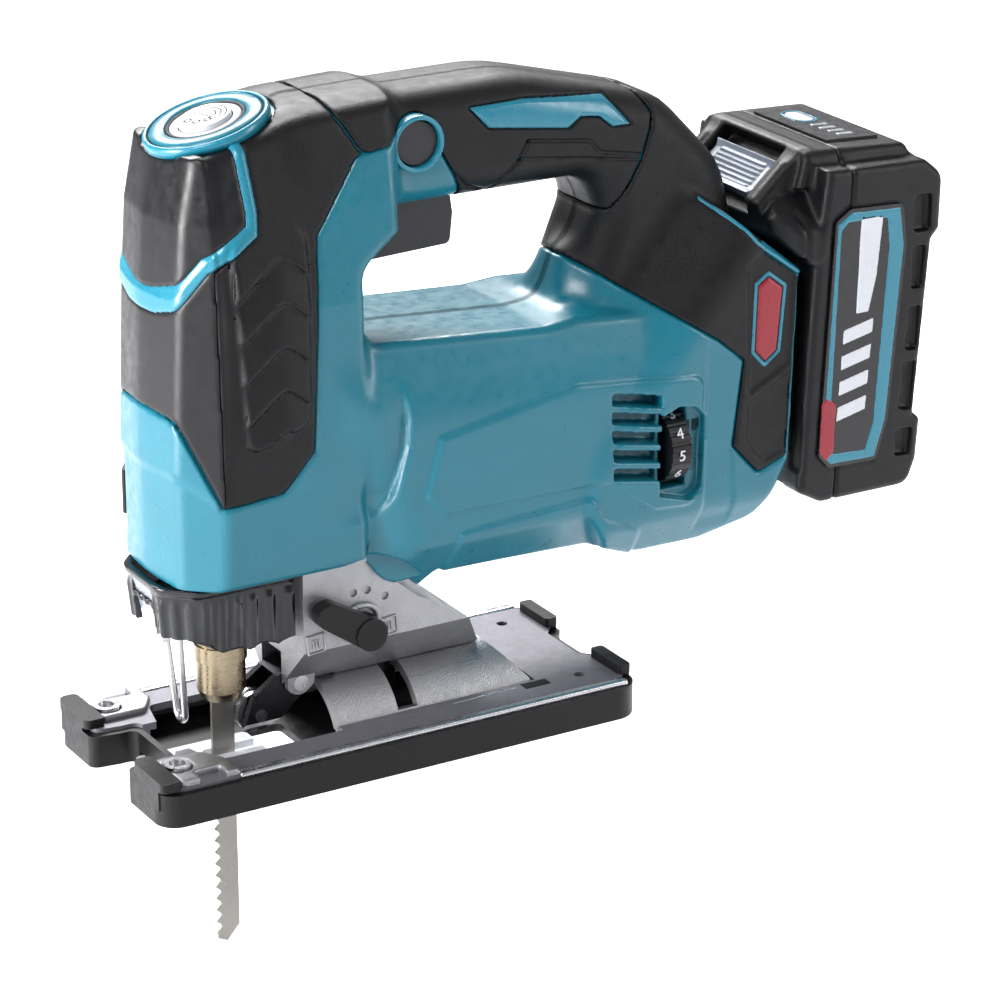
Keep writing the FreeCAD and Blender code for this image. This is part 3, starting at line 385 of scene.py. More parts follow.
RED = material("red_print", srgb(138, 14, 34), 0.3, grain=0.3, grain_depth=0.05,
               mottle=0.06, dark=0.9)
FILM = material("black_film", srgb(20, 19, 22), 0.3, grain=0.4, grain_depth=0.04,
                mottle=0.1, dark=0.9)
CELLS = material("cell_sleeve", srgb(30, 110, 120), 0.35, grain=0.5, grain_depth=0.1)

CAD_LOOKS = {
    CAST: ["gear_housing", "bevel_saddle"], PLATE: ["shoe_plate"],
    STEEL: ["plunger_rod", "wire_guard", "guide_roller", "roller_pin", "arm_pivot_pin", "rotor_shaft",
            "crank_shaft", "crank_pin", "front_motor_bearing", "rear_motor_bearing", "crank_bearing",
            "counterweight", "shoe_screws", "crank_gear", "motor_pinion", "scotch_yoke"],
    NICKEL: ["blade_holder"], DARK_STEEL: ["roller_arm", "bevel_clamp_bolt", "housing_screws"],
    BLADE: ["saw_blade"], BRONZE: ["lower_plunger_bush", "upper_plunger_bush", "battery_terminals"],
    COPPER: ["stator_coils"], IRON: ["motor_stator", "rotor_magnets"],
    BLACK: ["shoe_cover", "blade_release_lever", "battery_rail", "trigger_switch",
            "orbital_lever", "cooling_fan", "rear_motor_bracket", "speed_pot", "controller"],
    CLEAR: ["led_lens"], TRIGGER_GREY: ["trigger", "lock_button"], GLOSS: ["speed_dial"],
    CELLS: ["battery_cells"], WHITE: ["mode_button", "anti_splinter_insert"],
    FILM: ["battery_labels", "fuel_gauge"],
}
for look, names in CAD_LOOKS.items():
    for node_name in names:
        slots = NODES[node_name].data.materials
        slots.clear()
        slots.append(look)

# ---------------------------------------------------------------- housing

# side outlines (x, z) of the four masses that the housing is made of
NOSE = [(-24.5, 66.2, 3), (-24.4, 100), (-23.6, 120), (-21.9, 156), (-20.2, 178, 20),
        (-16.5, 195.8, 4), (18, 204.2, 10), (50, 205.8), (50, 168), (37, 158, 8), (37, 66.2)]
MOTOR = [(24, 68), (31, 68), (52, 51, 2), (58, 51, 3), (63, 57.5, 5), (86, 57, 10),
         (120, 55.5, 8), (134, 49.5, 8), (150, 49), (150, 128), (112, 131, 6), (100, 130, 8),
         (42, 134, 3), (30, 150)]
HANDLE = [(14, 202.4), (24, 206.0, 8), (96, 206.4, 60), (149, 193, 25), (172, 169, 25),
          (176.5, 150), (150, 120), (114, 128), (127, 160, 9), (121, 171, 8), (36, 171, 4),
          (14, 186)]
REAR = [(112, 131), (117.5, 146, 6), (151, 166, 8), (165, 156.5, 4), (171.5, 150, 4),
        (188.5, 136.5, 2), (186.2, 74), (176, 54.5, 8), (157, 49.2, 10), (134, 49.5, 8),
        (120, 55.5), (112, 70)]
# heights, with where the front of the nose stands and its half width at each
FRONT_LINE = ([66, 100, 120, 156, 178, 196], [-24.5, -24.4, -23.6, -21.9, -20.2, -16.5])
HALF_WIDTH = ([60, 110, 150, 178, 206], [28.4, 29.4, 29.0, 26.0, 20.5])
MOTOR_HALF, GRIP_HALF, REAR_HALF = 33.0, 18.6, 34.4


def body_field(x, y, z):
    """Outside of the whole housing, without seams or openings."""
    side = np.abs(y)
    soft = np.sqrt(y * y + 1) - 1
    half = np.interp(z, *HALF_WIDTH).astype(np.float32)
    front = np.interp(z, *FRONT_LINE).astype(np.float32)
    nose = slab(polygon(x, z, NOSE), y, half, 3.5)
    # two facets each side of a vertical seam down the front
    nose = meet(nose, -0.988 * (x - front) + 0.156 * soft, 1.0)
    nose = meet(nose, -0.671 * (x - front - 3.0) + 0.7415 * (side - 19), 1.6)
    # the motor's flat side, chamfered above, below and ahead
    proud = side - MOTOR_HALF
    motor = slab(polygon(x, z, MOTOR), y, MOTOR_HALF, 4)
    motor = meet(motor, 0.928 * proud + 0.371 * (z - 114), 3)
    motor = meet(motor, 0.824 * proud - 0.567 * (z - 71), 2)
    motor = meet(motor, 0.80 * proud - 0.60 * (x - 47 + 0.35 * (z - 80)), 4)
    grip = slab(polygon(x, z, HANDLE), y, GRIP_HALF, 11)
    # the wide rear that holds the battery, chamfered below and above
    proud = side - REAR_HALF
    rear = slab(polygon(x, z, REAR), y, REAR_HALF, 3)
    rear = meet(rear, 0.85 * proud - 0.53 * (z - 64), 2)
    rear = meet(rear, 0.80 * proud + 0.38 * (z - 134) - 0.46 * (x - 156), 4)
    whole = join(nose, motor, 4)
    whole = join(whole, grip, 9)
    return join(whole, rear, 3)


# side outlines (x, z) of the black overmould, the cap at its front, the trim and the relief
NOSE_ZONE = [(-40, 120.5), (-24, 120.3), (-21.4, 119), (-11.4, 93), (8.5, 94.8, 2),
             (18.8, 106, 2), (22, 171, 4), (37, 192, 3), (48, 193.4, 2), (53, 198.5, 5),
             (59, 201.2, 8), (65, 198.5, 5), (68, 188, 5), (76, 174, 2), (76, 160), (110, 160),
             (110, 150), (136, 132.5), (147, 125.2), (158, 118), (167.5, 110), (164, 82, 1),
             (173.6, 71.6, 1), (184.6, 75.8), (187.2, 134.8), (174, 144.5), (174, 149),
             (200, 149), (200, 230), (-40, 230)]
CAP = [(-45, 90), (-11.0, 90), (-11.2, 164.5), (0.6, 173.5), (1.4, 181), (-0.2, 199.5),
       (-6, 215), (-45, 215)]
DECO = [(78.5, 199.3), (84.5, 192.8), (112, 189), (116.5, 192), (123.5, 191), (128, 187.3),
        (134, 187.2), (126.5, 196.4), (97, 199.6)]
STRIPE = [(-40, 150), (-22.2, 150.2), (-21.3, 151.6), (-12.8, 165.2), (2.4, 174.4), (2.9, 181),
          (1.0, 200.5), (-1.7, 200.5), (0.2, 181), (-0.1, 177.0), (-13.4, 168.6),
          (-21.0, 157.2), (-21.8, 156.2), (-40, 156)]
PAD = [(-7, 174, 6), (18, 176, 6), (17, 116.5, 3), (9, 112, 4), (-3.5, 109.5, 3)]
TOP_LINE = [(29, 214), (31.5, 204), (38, 193.8), (41, 191.8), (50.5, 192.6)]
PANEL_LINES = [[(98, 186.8), (120, 183.8), (123.5, 179.8), (138.5, 176.8)],
               [(95, 181.7), (138.5, 175.3)],
               [(98, 186.8), (95, 181.7), (86, 171)],
               [(138.5, 198), (143, 189), (138.5, 175.3), (133, 166)],
               [(70, 183), (77, 176), (84, 173)]]
RAISED = [(59, 104), (107, 112, 2), (152, 108, 4), (150, 66, 4), (135, 67, 4), (118, 79, 2),
          (60, 79.5), (54, 86)]
LOWER_RIB = [(66, 72, 1), (112, 74.5, 2), (116, 67, 3), (131, 60, 4), (131, 50), (64, 50)]
BAND = [(154, 118), (167, 110.5), (163.5, 81), (166, 50), (153, 50)]
SCOOP = [(47, 124), (48.3, 112), (47.6, 103), (43, 87), (31.5, 70)]
DIAL_RECESS = [(136.5, 97, 1), (143, 99.5, 1), (149, 98.5, 2), (153.5, 94, 2), (152.5, 70.5, 2),
               (148, 67.5, 2), (136, 71, 1)]
GRIP = TOP_LINE + [(59, 194), (66, 180), (66, 160), (129, 160), (133, 166), (138.5, 175.3),
                   (143, 189), (138.5, 198), (136, 214)]
BADGE = [(176.1, 137), (182.4, 132.2), (180.6, 111), (175.4, 107.2), (171, 112), (171.7, 134)]
BADGE_WELL = [(168.3, 141), (172.7, 144.6), (185.6, 135), (185.2, 106.5), (169.3, 98.6)]
LOWER_WELL = [(169.3, 95.5), (185.2, 103.5), (184.3, 77.5), (176, 74.8), (169.4, 82)]
REAR_LINE = [(158.2, 160.6), (168.2, 152), (171.8, 147.4), (188.4, 135.4)]
SHINGLE_RISE = 13.2  # height of one row of the nose pad's four overlapping rows


def relief(x, y, z):
    """Height of the raised and sunk areas on the outside, before the overmould lines."""
    plan = [x, z]
    side = ramp(-y, 10, 4)
    apex = z - 167.5 + 0.86 * np.sqrt((x - 9) ** 2 + 4) - 1.7
    row = -apex / SHINGLE_RISE
    shingle = np.clip(row - np.floor(row), 0, 1)
    shingle = np.where((row > 0) & (row < 4), shingle, np.where(row <= 0, 1, 0.15))
    shingle = np.clip(1 - shingle, 0, 1) * np.clip(shingle * 9, 0, 1)
    pad = step(polygon(*plan, PAD), 2.2) * ramp(z, 176, -12)
    height = pad * (2.5 - 1.7 * shingle) * side
    height = height + 1.1 * step(polygon(*plan, RAISED), 1.6) * side
    height = height + 1.0 * step(polygon(*plan, LOWER_RIB), 1.4) * side
    height = height - 0.7 * step(polygon(*plan, BAND), 0.9) * ramp(-y, 28, 2)
    # the hollow between nose and motor, steep behind its line and soft ahead of it
    near = to_line(*plan, SCOOP)
    scoop_x, scoop_z = zip(*reversed(SCOOP))
    ahead = x < np.interp(z, scoop_z, scoop_x)
    dig = np.where(ahead, np.clip(1 - near / 20, 0, 1) ** 1.5, np.clip(1 - near / 1.2, 0, 1))
    height = height - 2.6 * dig * side * ramp(z, 124, -14) * ramp(z, 80, 8)
    # the front stands proud above a line that runs down towards the sides
    above = z - np.interp(x, [-40, -21.3, -11], [101.7, 101.5, 93])
    height = height + 0.9 * np.clip(above / 2.6 + 0.5, 0, 1) * ramp(x, -10, -1.5)
    well = step(polygon(*plan, BADGE_WELL), 1.0) + step(polygon(*plan, LOWER_WELL), 1.0)
    return height - 0.8 * well * ramp(-y, 27, 2)


DISPLAY_AT = (0.9, 199.6)  # middle of the display (x, z)
DISPLAY_TILT = math.radians(16)
TILT = (math.cos(DISPLAY_TILT), math.sin(DISPLAY_TILT))
BUTTON_AT = (59, 192)  # axis of the lock button (x, z)
BUTTON_BORE = 7.1
VENT_ROWS = (79.5, 85.5, 91.5, 97.5, 103.5)
LEVER_WINDOW = [(-8, -28.4), (-8, -40), (-30, -40), (-30, -16), (-18, -17.2)]


def openings(x, y, z, left):
    """Rooms and openings of one side of the housing, as one field."""
    plan = [x, z]
    trigger = polygon(*plan, [(37.5, 150), (79.5, 150), (79.5, 178, 3), (37.5, 178, 3)])
    button = [(BUTTON_AT[0], across, BUTTON_AT[1]) for across in (-40, -8)]
    foot = polygon(*plan, [(17, 10), (17, 70.6), (37.7, 70.6), (40, 67), (59, 51.4), (59, 10)])
    along_x, along_z = x - DISPLAY_AT[0], z - DISPLAY_AT[1]
    height = along_x * -TILT[1] + along_z * TILT[0]
    around = np.sqrt((along_x * TILT[0] + along_z * TILT[1]) ** 2 + y * y)
    vents = [polygon(*plan, [(119, low), (136.5, low - 3.2), (136.5, low + 0.8), (119, low + 4.0)])
             for low in VENT_ROWS]
    cuts = [
        np.maximum(trigger, -y - 8.2),
        along_tube(x, y, z, button, BUTTON_BORE),
        np.maximum(foot, -y - 22.4),
        # gear box, plunger, and room for the top of the rod
        np.maximum(rectangle(*plan, (7.6, 60), (38, 155)), -y - 25.3),
        np.maximum(rectangle(*plan, (-13, 60), (13, 186)), -y - 11.5),
        np.maximum(np.hypot(x, y) - 5.4, np.abs(z - 180) - 13.4),
        # well of the display, and its flat seat
        np.maximum(around - 17.2, -(height + 5)),
        np.maximum(np.maximum(-(height - 0.2), around - 20.2), height - 14),
        np.maximum(np.minimum.reduce(vents), y + 28.6),
        # battery rail, motor and switch
        np.maximum(rectangle(*plan, (177, 77.5), (200, 131)), -y - 32),
        np.maximum(np.hypot(y, z - 92) - 25.5, np.maximum(38 - x, x - 176)),
        np.maximum(rectangle(*plan, (60, 175), (115, 198)), -y - 10),
    ]
    if left:
        # swing of the orbital lever, and the speed dial
        cuts.append(np.maximum(np.hypot(x - 37, z - 43.5) - 24.5, y + 23.4))
        cuts.append(np.maximum(polygon(*plan, DIAL_RECESS), y + 31.0))
        cuts.append(np.maximum(rectangle(*plan, (138.4, 71.5), (148, 97.5)), y + 11))
    else:
        cuts.append(np.maximum(polygon(x, y, LEVER_WINDOW), np.abs(z - 85) - 10.8))
    return functools.reduce(np.minimum, cuts)


SHELL_SPACE = ((-26, -36, 48), (191, 0, 209), FINE)
HANDLE_SPACE = ((26, -27, 158), (146, 0, 210), 0.5)


def housing_side(left, grid):
    """Fields of one side, at y < 0: teal shell, black skin, nose cap and handle skin."""
    x, y, z = grid
    plan = [x, z]
    body = body_field(x, y, z) - relief(x, y, z)
    zone = polygon(*plan, NOSE_ZONE)
    engraved = sum(ridge(to_line(*plan, line), 0.95) for line in PANEL_LINES) * ramp(-y, 9, 3)
    engraved = (engraved + ridge(to_line(*plan, TOP_LINE), 1.0) * ramp(-y, 3, 3)) * 0.9
    groove = 0.8 * ridge(np.abs(zone), 1.0)
    carve = openings(x, y, z, left)
    shell = np.maximum(np.maximum(body + groove, np.minimum(-zone, body + 1.6)), -carve)
    deco = ridge(np.abs(polygon(*plan, DECO)), 1.1) * ramp(-y, 9, 3)
    stripe = ridge(np.abs(polygon(*plan, STRIPE)), 0.9)
    skin = np.maximum(body + engraved + 0.9 * deco + 0.7 * stripe, zone + 0.25)
    skin = np.maximum(np.maximum(skin, -(body + 1.4)), -carve)
    cap, grip = polygon(*plan, CAP), polygon(*plan, GRIP)
    rest = np.maximum(np.maximum(skin, -cap), -grip)
    return shell, rest, np.maximum(skin, cap + 0.1), np.maximum(skin, grip + 0.3)


def surface_piece(name, low, high, pitch, outline, raised, bevel, look, slot, flip, replaces):
    """A thin inlay on the outside of the housing, inside a side outline."""
    grid = space(low, high, pitch)
    x, y, z = grid
    inside = outline(x, y, z)
    skin = body_field(x, y, z) - relief(x, y, z) - raised * step(inside + bevel / 2, bevel)
    field = np.maximum(np.maximum(skin, -(skin + 1.3)), inside)
    mould(name, field, grid, pitch, look, "tool", replaces, flip)


def handle_inlay(x, y, z):
    return np.maximum(polygon(x, z, DECO) - 0.1, y + 9)


def nose_stripe(x, y, z):
    return polygon(x, z, STRIPE) - 0.5


def rear_line(x, y, z):
    return to_line(x, z, REAR_LINE) - 0.8


def badge_frame(x, y, z):
    return np.abs(polygon(x, z, BADGE) - 0.1) - 0.75


def badge(x, y, z):
    return polygon(x, z, BADGE) + 0.7


# low and high corner, grid pitch, outline, height, edge width, material, slot
# The teal inlays are a lighter copy of the shell's teal: painted highlight on raised trims.
INLAYS = {
    "handle_inlay": ((77, -20, 185), (136, -9, 202), 0.4, handle_inlay, 0.5, 1.2, TEAL_PRINT_AND_HIGHLIGHT,
                     "teal_shell"),
    "nose_stripe": ((-26, -31, 147), (6, 0, 203), 0.42, nose_stripe, 0.6, 1.2, TEAL_PRINT_AND_HIGHLIGHT,
                    "teal_shell"),
    "rear_line": ((155, -37, 132), (191, -18, 164), 0.5, rear_line, 0.6, 1.2, TEAL_PRINT_AND_HIGHLIGHT,
                  "teal_shell"),
    "badge_frame": ((168, -37, 104), (186, -30, 140), 0.45, badge_frame, 0.7, 0.8, TEAL_PRINT_AND_HIGHLIGHT,
                    "teal_shell"),
    "badge": ((168, -37, 104), (186, -30, 140), 0.45, badge, 0.5, 0.8, RED, "badge_red"),
}
# Outline of the dark sheet that paints the shade behind the vent slots.
VENT_PAINTED_SHADE = [(117, 76, 1), (138, 76, 1), (138, 109, 1), (117, 109, 1)]


def housing_pieces(left):
    """Every fixed piece of one side of the housing."""
    side_name = "left" if left else "right"
    # CAD nodes that only the left side has pieces for
    single = {"overmould": ["nose_pads"], "nose_cap": ["nose_front_pad"],
              "badge": ["rear_badges"]} if left else {}
    flip = not left
    low, high, pitch = SHELL_SPACE
    grid = space(low, high, pitch)
    shell, skin, cap, grip = housing_side(left, grid)
    mould("shell_" + side_name, shell, grid, pitch, TEAL, "tool",
          ["housing_" + side_name], flip)
    mould("overmould_" + side_name, skin, grid, pitch, RUBBER, "tool",
          ["grip_" + side_name] + single.get("overmould", []), flip)
    mould("nose_cap_" + side_name, cap, grid, pitch, GLOSS, "tool",
          single.get("nose_cap", []), flip)
    low, high, pitch = HANDLE_SPACE
    grid = space(low, high, pitch)
    shell, skin, cap, grip = housing_side(left, grid)
    mould("handle_grip_" + side_name, grip, grid, pitch, RUBBER, "tool", (), flip)
    for name, settings in INLAYS.items():
        surface_piece("%s_%s" % (name, side_name), *settings, flip, single.get(name, []))
    # A dark sheet just behind the vent slots: painted shade of the room behind them.
    grid = space((117, -28.4, 76), (138, -27.4, 109), 0.7)
    x, y, z = grid
    painted_shade = slab(polygon(x, z, VENT_PAINTED_SHADE), y + 27.9, 0.5, 0.4)
    mould("vent_painted_shade_" + side_name, painted_shade, grid, 0.7, BLACK_AND_SHADE, "tool", (), flip)


def button_ring():
    """Teal ring round the lock button, on the left side only."""
    grid = space((48, -24, 181), (70, -17, 203), 0.45)
    x, y, z = grid
    distance = np.hypot(x - BUTTON_AT[0], z - BUTTON_AT[1])
    ring = slab(np.abs(distance - 7.9) - 0.75, y + 19.6, 1.9, 0.5)
    # The ring is a lighter copy of the shell's teal: painted highlight on a raised ring.
    mould("button_ring", ring, grid, 0.45, TEAL_PRINT_AND_HIGHLIGHT, "tool")


housing_pieces(left=True)
housing_pieces(left=False)
button_ring()

# ---------------------------------------------------------------- display on top of the nose

# sections (radius, height) of the display's rings, from the outside in
DISPLAY_RINGS = [
    # The rim is a lighter copy of the shell's teal: painted highlight on its raised edge.
    ("display_rim", TEAL_PRINT_AND_HIGHLIGHT, "teal_shell", ["display_panel"],
     [(17.7, 0.3), (17.7, 3.0), (18.0, 3.4), (18.6, 3.4), (19.1, 2.8), (19.2, 0.3)]),
    ("display_groove", BLACK_AND_SHADE, "black_plastic", [],
     [(17.1, 0.1), (17.1, 2.4), (17.7, 2.4), (17.7, 0.1)]),
    ("display_ring", TEAL, "teal_shell", [],
     [(12.2, 0.2), (12.2, 3.1), (12.6, 3.6), (14.6, 3.9), (16.6, 3.5), (17.1, 3.0), (17.1, 0.2)]),
    ("display_bezel", BLACK_AND_SHADE, "black_plastic", [],
     [(10.9, 0.4), (10.9, 3.0), (11.2, 3.3), (12.1, 3.3), (12.1, 0.4)]),
    ("display_face", WHITE, "panel_white", [],
     [(8.35, 2.0), (8.35, 3.0), (8.5, 3.1), (10.8, 3.1), (10.8, 2.0)]),
]
RING_SIDES = 96
MARK_HEIGHT = 4.5  # the marks lie on the mode button
MARK_PITCH = 0.25


def on_display(u, v, height):
    """Place of a point given along, across and above the tilted display."""
    return (DISPLAY_AT[0] + u * TILT[0] - height * TILT[1], v,
            DISPLAY_AT[1] + u * TILT[1] + height * TILT[0])


def lathe(name, look, slot, replaces, profile):
    """A ring on the display, from (radius, height) points of its closed section."""
    points, faces = [], []
    count = len(profile)
    for turn in range(RING_SIDES):
        angle = 2 * math.pi * turn / RING_SIDES
        points += [on_display(radius * math.cos(angle), radius * math.sin(angle), height)
                   for radius, height in profile]
        a, b = turn * count, (turn + 1) % RING_SIDES * count
        for index in range(count):
            after = (index + 1) % count
            faces.append((a + after, b + after, b + index, a + index))
    build(name, points, faces, look, "tool", replaces)


def mark(name, outline):
    """A small printed mark on the mode button, from its field in the display's plane."""
    grid = space((-9, -9, 0), (9, 9, 1), MARK_PITCH)
    u, v, w = grid
    field = np.maximum(outline(u, v), np.abs(w - 0.5) - 0.12)
    low = [float(axis.ravel()[0]) for axis in grid]
    points, faces = surface_net(field, low, MARK_PITCH)
    placed = on_display(points[:, 0], points[:, 1], points[:, 2] - 0.5 + MARK_HEIGHT)
    build(name, np.stack(placed, 1), faces, BLACK_AND_SHADE, "mode_key")


def square_mark(middle_u, middle_v):
    """Field of a small hollow square."""
    def outline(u, v):
        return np.abs(np.maximum(np.abs(u - middle_u), np.abs(v - middle_v)) - 0.9) - 0.3
    return outline


def arc_mark(radius):
    """Field of an arc round the middle of the display."""
    def outline(u, v):
        return np.maximum(np.abs(np.hypot(u, v) - radius) - 0.28, 1.4 - u - 0.2 * v)
    return outline


def split_mark(u, v):
    """Field of the line that divides the display."""
    return np.maximum(np.abs(u - 0.4 + 0.2 * v) - 0.25, np.abs(v) - 7)


for ring in DISPLAY_RINGS:
    lathe(*ring)
for number, middle in enumerate(((-3.4, -1.8), (-0.6, -3.6), (-4.6, 1.6))):
    mark("mode_mark_%d" % number, square_mark(*middle))
for number, radius in enumerate((3.6, 5.2, 6.8)):
    mark("mode_arc_%d" % number, arc_mark(radius))
mark("mode_split", split_mark)

# ---------------------------------------------------------------- speed dial numbers

DIAL_AT = (143.2, -25, 84.5)
DIAL_RADIUS = 12.05
DIAL_STEP = 34  # degrees from one number to the next
FACING_OUT = 5  # the number that faces left at rest
NUMBER_SIZE = 5.0


def numeral(number):
    """A raised number on the rim of the speed dial."""
    curve = bpy.data.curves.new("numeral", "FONT")
    curve.body = str(number)
    curve.size = NUMBER_SIZE * MM
    curve.extrude = 0.12 * MM
    curve.align_x = "CENTER"
    curve.align_y = "CENTER"
    source = bpy.data.objects.new("numeral_source", curve)
    mesh = bpy.data.meshes.new_from_object(source)
    bpy.data.objects.remove(source)
    turn = math.radians(DIAL_STEP * (number - FACING_OUT) + 4)
    cos, sin = math.cos(turn), math.sin(turn)
    for vertex in mesh.vertices:
        u, v, w = vertex.co
        out = DIAL_RADIUS * MM + w
        vertex.co = Vector(DIAL_AT) * MM + Vector((u, -out * cos - v * sin, v * cos - out * sin))
    obj = bpy.data.objects.new("dial_number_%d" % number, mesh)
    bpy.context.scene.collection.objects.link(obj)
    mesh.materials.append(WHITE)
    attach(obj, "dial")


for number in range(1, 7):
    numeral(number)

# ---------------------------------------------------------------- battery

# side outlines (x, z): case, raised top, latch hood, wide flank, and what is cut out of them
MAIN = [(187.8, 62.5, 3), (197, 57.5, 3), (231, 57.5, 5), (234.3, 66, 2), (235.2, 79.5),
        (232.4, 82), (236.8, 139.5), (239.7, 142.5), (240.2, 160.5, 6), (233.5, 166, 3),
        (196, 167.4), (192, 137)]
CROWN = [(190, 160), (236, 160), (231, 170, 3), (196, 172), (193, 171.5)]
HOOD = [(191, 137.6), (179.5, 148.6, 1), (177.2, 157.2, 1), (193.5, 172, 1), (197, 172),
        (197, 137.6)]
FLANK = [(190.8, 137.5), (179.3, 147.4, 2), (178.8, 153, 2), (187, 163.5, 2), (197, 163.5),
         (197, 140)]
CHANNEL = [(180, 50), (193.3, 50), (197, 141), (180, 141)]
LIP = [(187.9, 63), (189.7, 63), (193, 140.5), (191.2, 140.5)]
SLOTS = [[(229.0, 155, 1), (235.8, 154.4), (235.6, 143), (229.4, 143, 1)],
         [(229.4, 138.5, 1), (234.4, 137.5), (233.4, 124), (228.8, 124.2, 1)],
         [(228.6, 118.5, 1), (233.2, 118), (232.6, 103.6), (227.6, 104, 1)],
         [(227.2, 100, 1), (232.2, 99.5), (231.2, 83.4), (226, 84.2, 1)],
         [(225.4, 77.4, 1), (231.8, 76.8), (231.0, 68), (225.0, 68.6, 1)]]
CREASE = [(191.2, 176), (188.6, 162.5), (188.6, 70)]
LABEL_SEAT = [(197.6, 151.2), (201.5, 155.6), (222.3, 154.4, 1), (224.3, 140), (220.2, 80),
              (216.2, 67.8, 1), (198.2, 69), (193.6, 74)]
CELL_ROOM = [(195.5, 60.5), (229, 60.5), (233, 157), (199.5, 157)]
SLOPE = (0.7593, 0.6508)  # direction of the latch slope (x, z)
SLOPE_AT = (178.2, 157.4)
CASE_HALF = 37.0
CASE_PITCH = 0.8
LABEL_PITCH = 0.4


def on_slope(x, z):
    """Distance up the latch slope and out of it."""
    return ((x - SLOPE_AT[0]) * SLOPE[0] + (z - SLOPE_AT[1]) * SLOPE[1],
            (z - SLOPE_AT[1]) * SLOPE[0] - (x - SLOPE_AT[0]) * SLOPE[1])


def battery_case():
    """Front and rear halves of the battery's case."""
    grid = space((176, -37.8, 56), (242, 37.8, 173), CASE_PITCH)
    x, y, z = grid
    plan = [x, z]
    side = np.abs(y)
    block = slab(polygon(*plan, MAIN), y, CASE_HALF, 2.2)
    crown = slab(polygon(*plan, CROWN), y, 29.0, 2.0)
    crown = meet(crown, 0.7 * (side - 29) + 0.714 * (z - 169.5), 1.0)
    hood = slab(polygon(*plan, HOOD), y, 25.0, 1.5)
    flank = slab(polygon(*plan, FLANK), y, CASE_HALF, 1.5)
    flank = meet(flank, 0.66 * (side - CASE_HALF) + 0.75 * (z - 148.5), 1.5)
    flank = meet(flank, 0.72 * (side - CASE_HALF) - 0.69 * (x - 187.5), 1.5)
    whole = join(block, crown, 2)
    whole = join(whole, np.minimum(hood, flank), 1.5)
    # raised rim at each side of the latch
    along, out = on_slope(x, z)
    rim = step(np.abs(side - 21.5) - 1.6, 1.4) * step(polygon(*plan, HOOD) - 1, 2)
    whole = whole - 0.9 * rim * np.clip((182 - x) / 2 + 4, 0, 1) * np.clip(out / 2 + 1, 0, 1)
    for outline in SLOTS:
        whole = np.maximum(whole, -np.maximum(polygon(*plan, outline), 34.7 - side))
    seam = ridge(np.abs(x - 201.5 - 0.0313 * (z - 40)), 0.8) * ramp(side, 28, 2)
    crease = ridge(to_line(*plan, CREASE), 1.2) * ramp(side, 30, 2)
    whole = whole + 0.7 * seam + 0.7 * crease
    whole = whole + 0.35 * step(polygon(*plan, LABEL_SEAT), 0.8) * ramp(side, 35, 2)
    # channel for the rail, well of the latch, lips that grip the rail, and the cell room
    channel = np.maximum(polygon(*plan, CHANNEL), side - 27)
    well = np.maximum(np.maximum(-3 - along, along - 20), np.maximum(-5 - out, out - 9))
    whole = np.maximum(np.maximum(whole, -channel), -np.maximum(well, side - 17.5))
    whole = np.minimum(whole, np.maximum(polygon(*plan, LIP), np.abs(side - 24.9) - 2.1))
    whole = np.maximum(whole, -np.maximum(polygon(*plan, CELL_ROOM), side - 33.0))
    split = x - 201 - 0.03125 * (z - 40)
    mould("battery_front", np.maximum(whole, split), grid, CASE_PITCH, CASE, "battery",
          ["battery_case_front"])
    mould("battery_rear", np.maximum(whole, -split), grid, CASE_PITCH, CASE, "battery",
          ["battery_case_rear"])


def latch_button():
    """Dished button with six ribs, on the slope."""
    grid = space((175, -17, 150), (196, 17, 172), 0.42)
    x, y, z = grid
    along, out = on_slope(x, z)
    top = 0.6 - 2.2 * step(np.abs(along - 8.5) - 6.0, 4.0)
    ribs = sum(ridge(np.abs(along - 3.6 - 1.75 * n), 0.8) for n in range(6))
    ribs = ribs * step(np.abs(y) - 12.5, 1.0)
    face = np.maximum(out - top - 0.9 * ribs, -4.6 - out)
    key = np.maximum(np.maximum(face, np.abs(along - 8) - 7), np.abs(y) - 16.4)
    mould("latch_button", key, grid, 0.42, LATCH, "latch", ["battery_latch_button"])


# side outlines (x, z) of the plain colour areas on the labels
LABEL_IN = [(199, 148.5), (202.6, 152), (219.6, 151.2), (220.8, 140.4), (217, 82), (213.6, 71.6),
            (199.6, 72.4), (196.6, 75.4)]
LABEL_OUT = [(198.8, 150.4), (204.2, 153.9), (223.5, 152.9), (225.4, 139.9), (220.6, 82.2),
             (216.6, 69.6), (198.9, 70.1), (195.1, 74.2)]
PANEL = [(207.9, 152.0), (216.6, 151.2), (214.7, 131.2), (212, 119.7), (207.1, 119.6)]
BAR = [(202.6, 115), (214.2, 117.5), (213.8, 112.6), (202.3, 110.1)]
BAR_SHIFT = ((-0.5, -8.5), (-0.6, -8.5), (-0.6, -8.5), (-0.5, -8.5))
HEXAGON = [(196.9, 93.9), (200.9, 90.8), (200.4, 74.2), (197.4, 71.6), (194.6, 74.9),
           (194.9, 91.4)]
PRINT_FACE, HEXAGON_FACE = 37.86, 37.92  # how far out the label's surfaces stand


def label_frame(x, z):
    return np.maximum(polygon(x, z, LABEL_OUT) + 0.5, -polygon(x, z, LABEL_IN) - 1.7)


def label_panel(x, z):
    return polygon(x, z, PANEL)


def label_bars(x, z):
    bars = [[(u + n * du, v + n * dv) for (u, v), (du, dv) in zip(BAR, BAR_SHIFT)]
            for n in range(4)]
    return np.minimum.reduce([polygon(x, z, bar) for bar in bars])


def label_hexagon(x, z):
    return polygon(x, z, HEXAGON) + 0.2


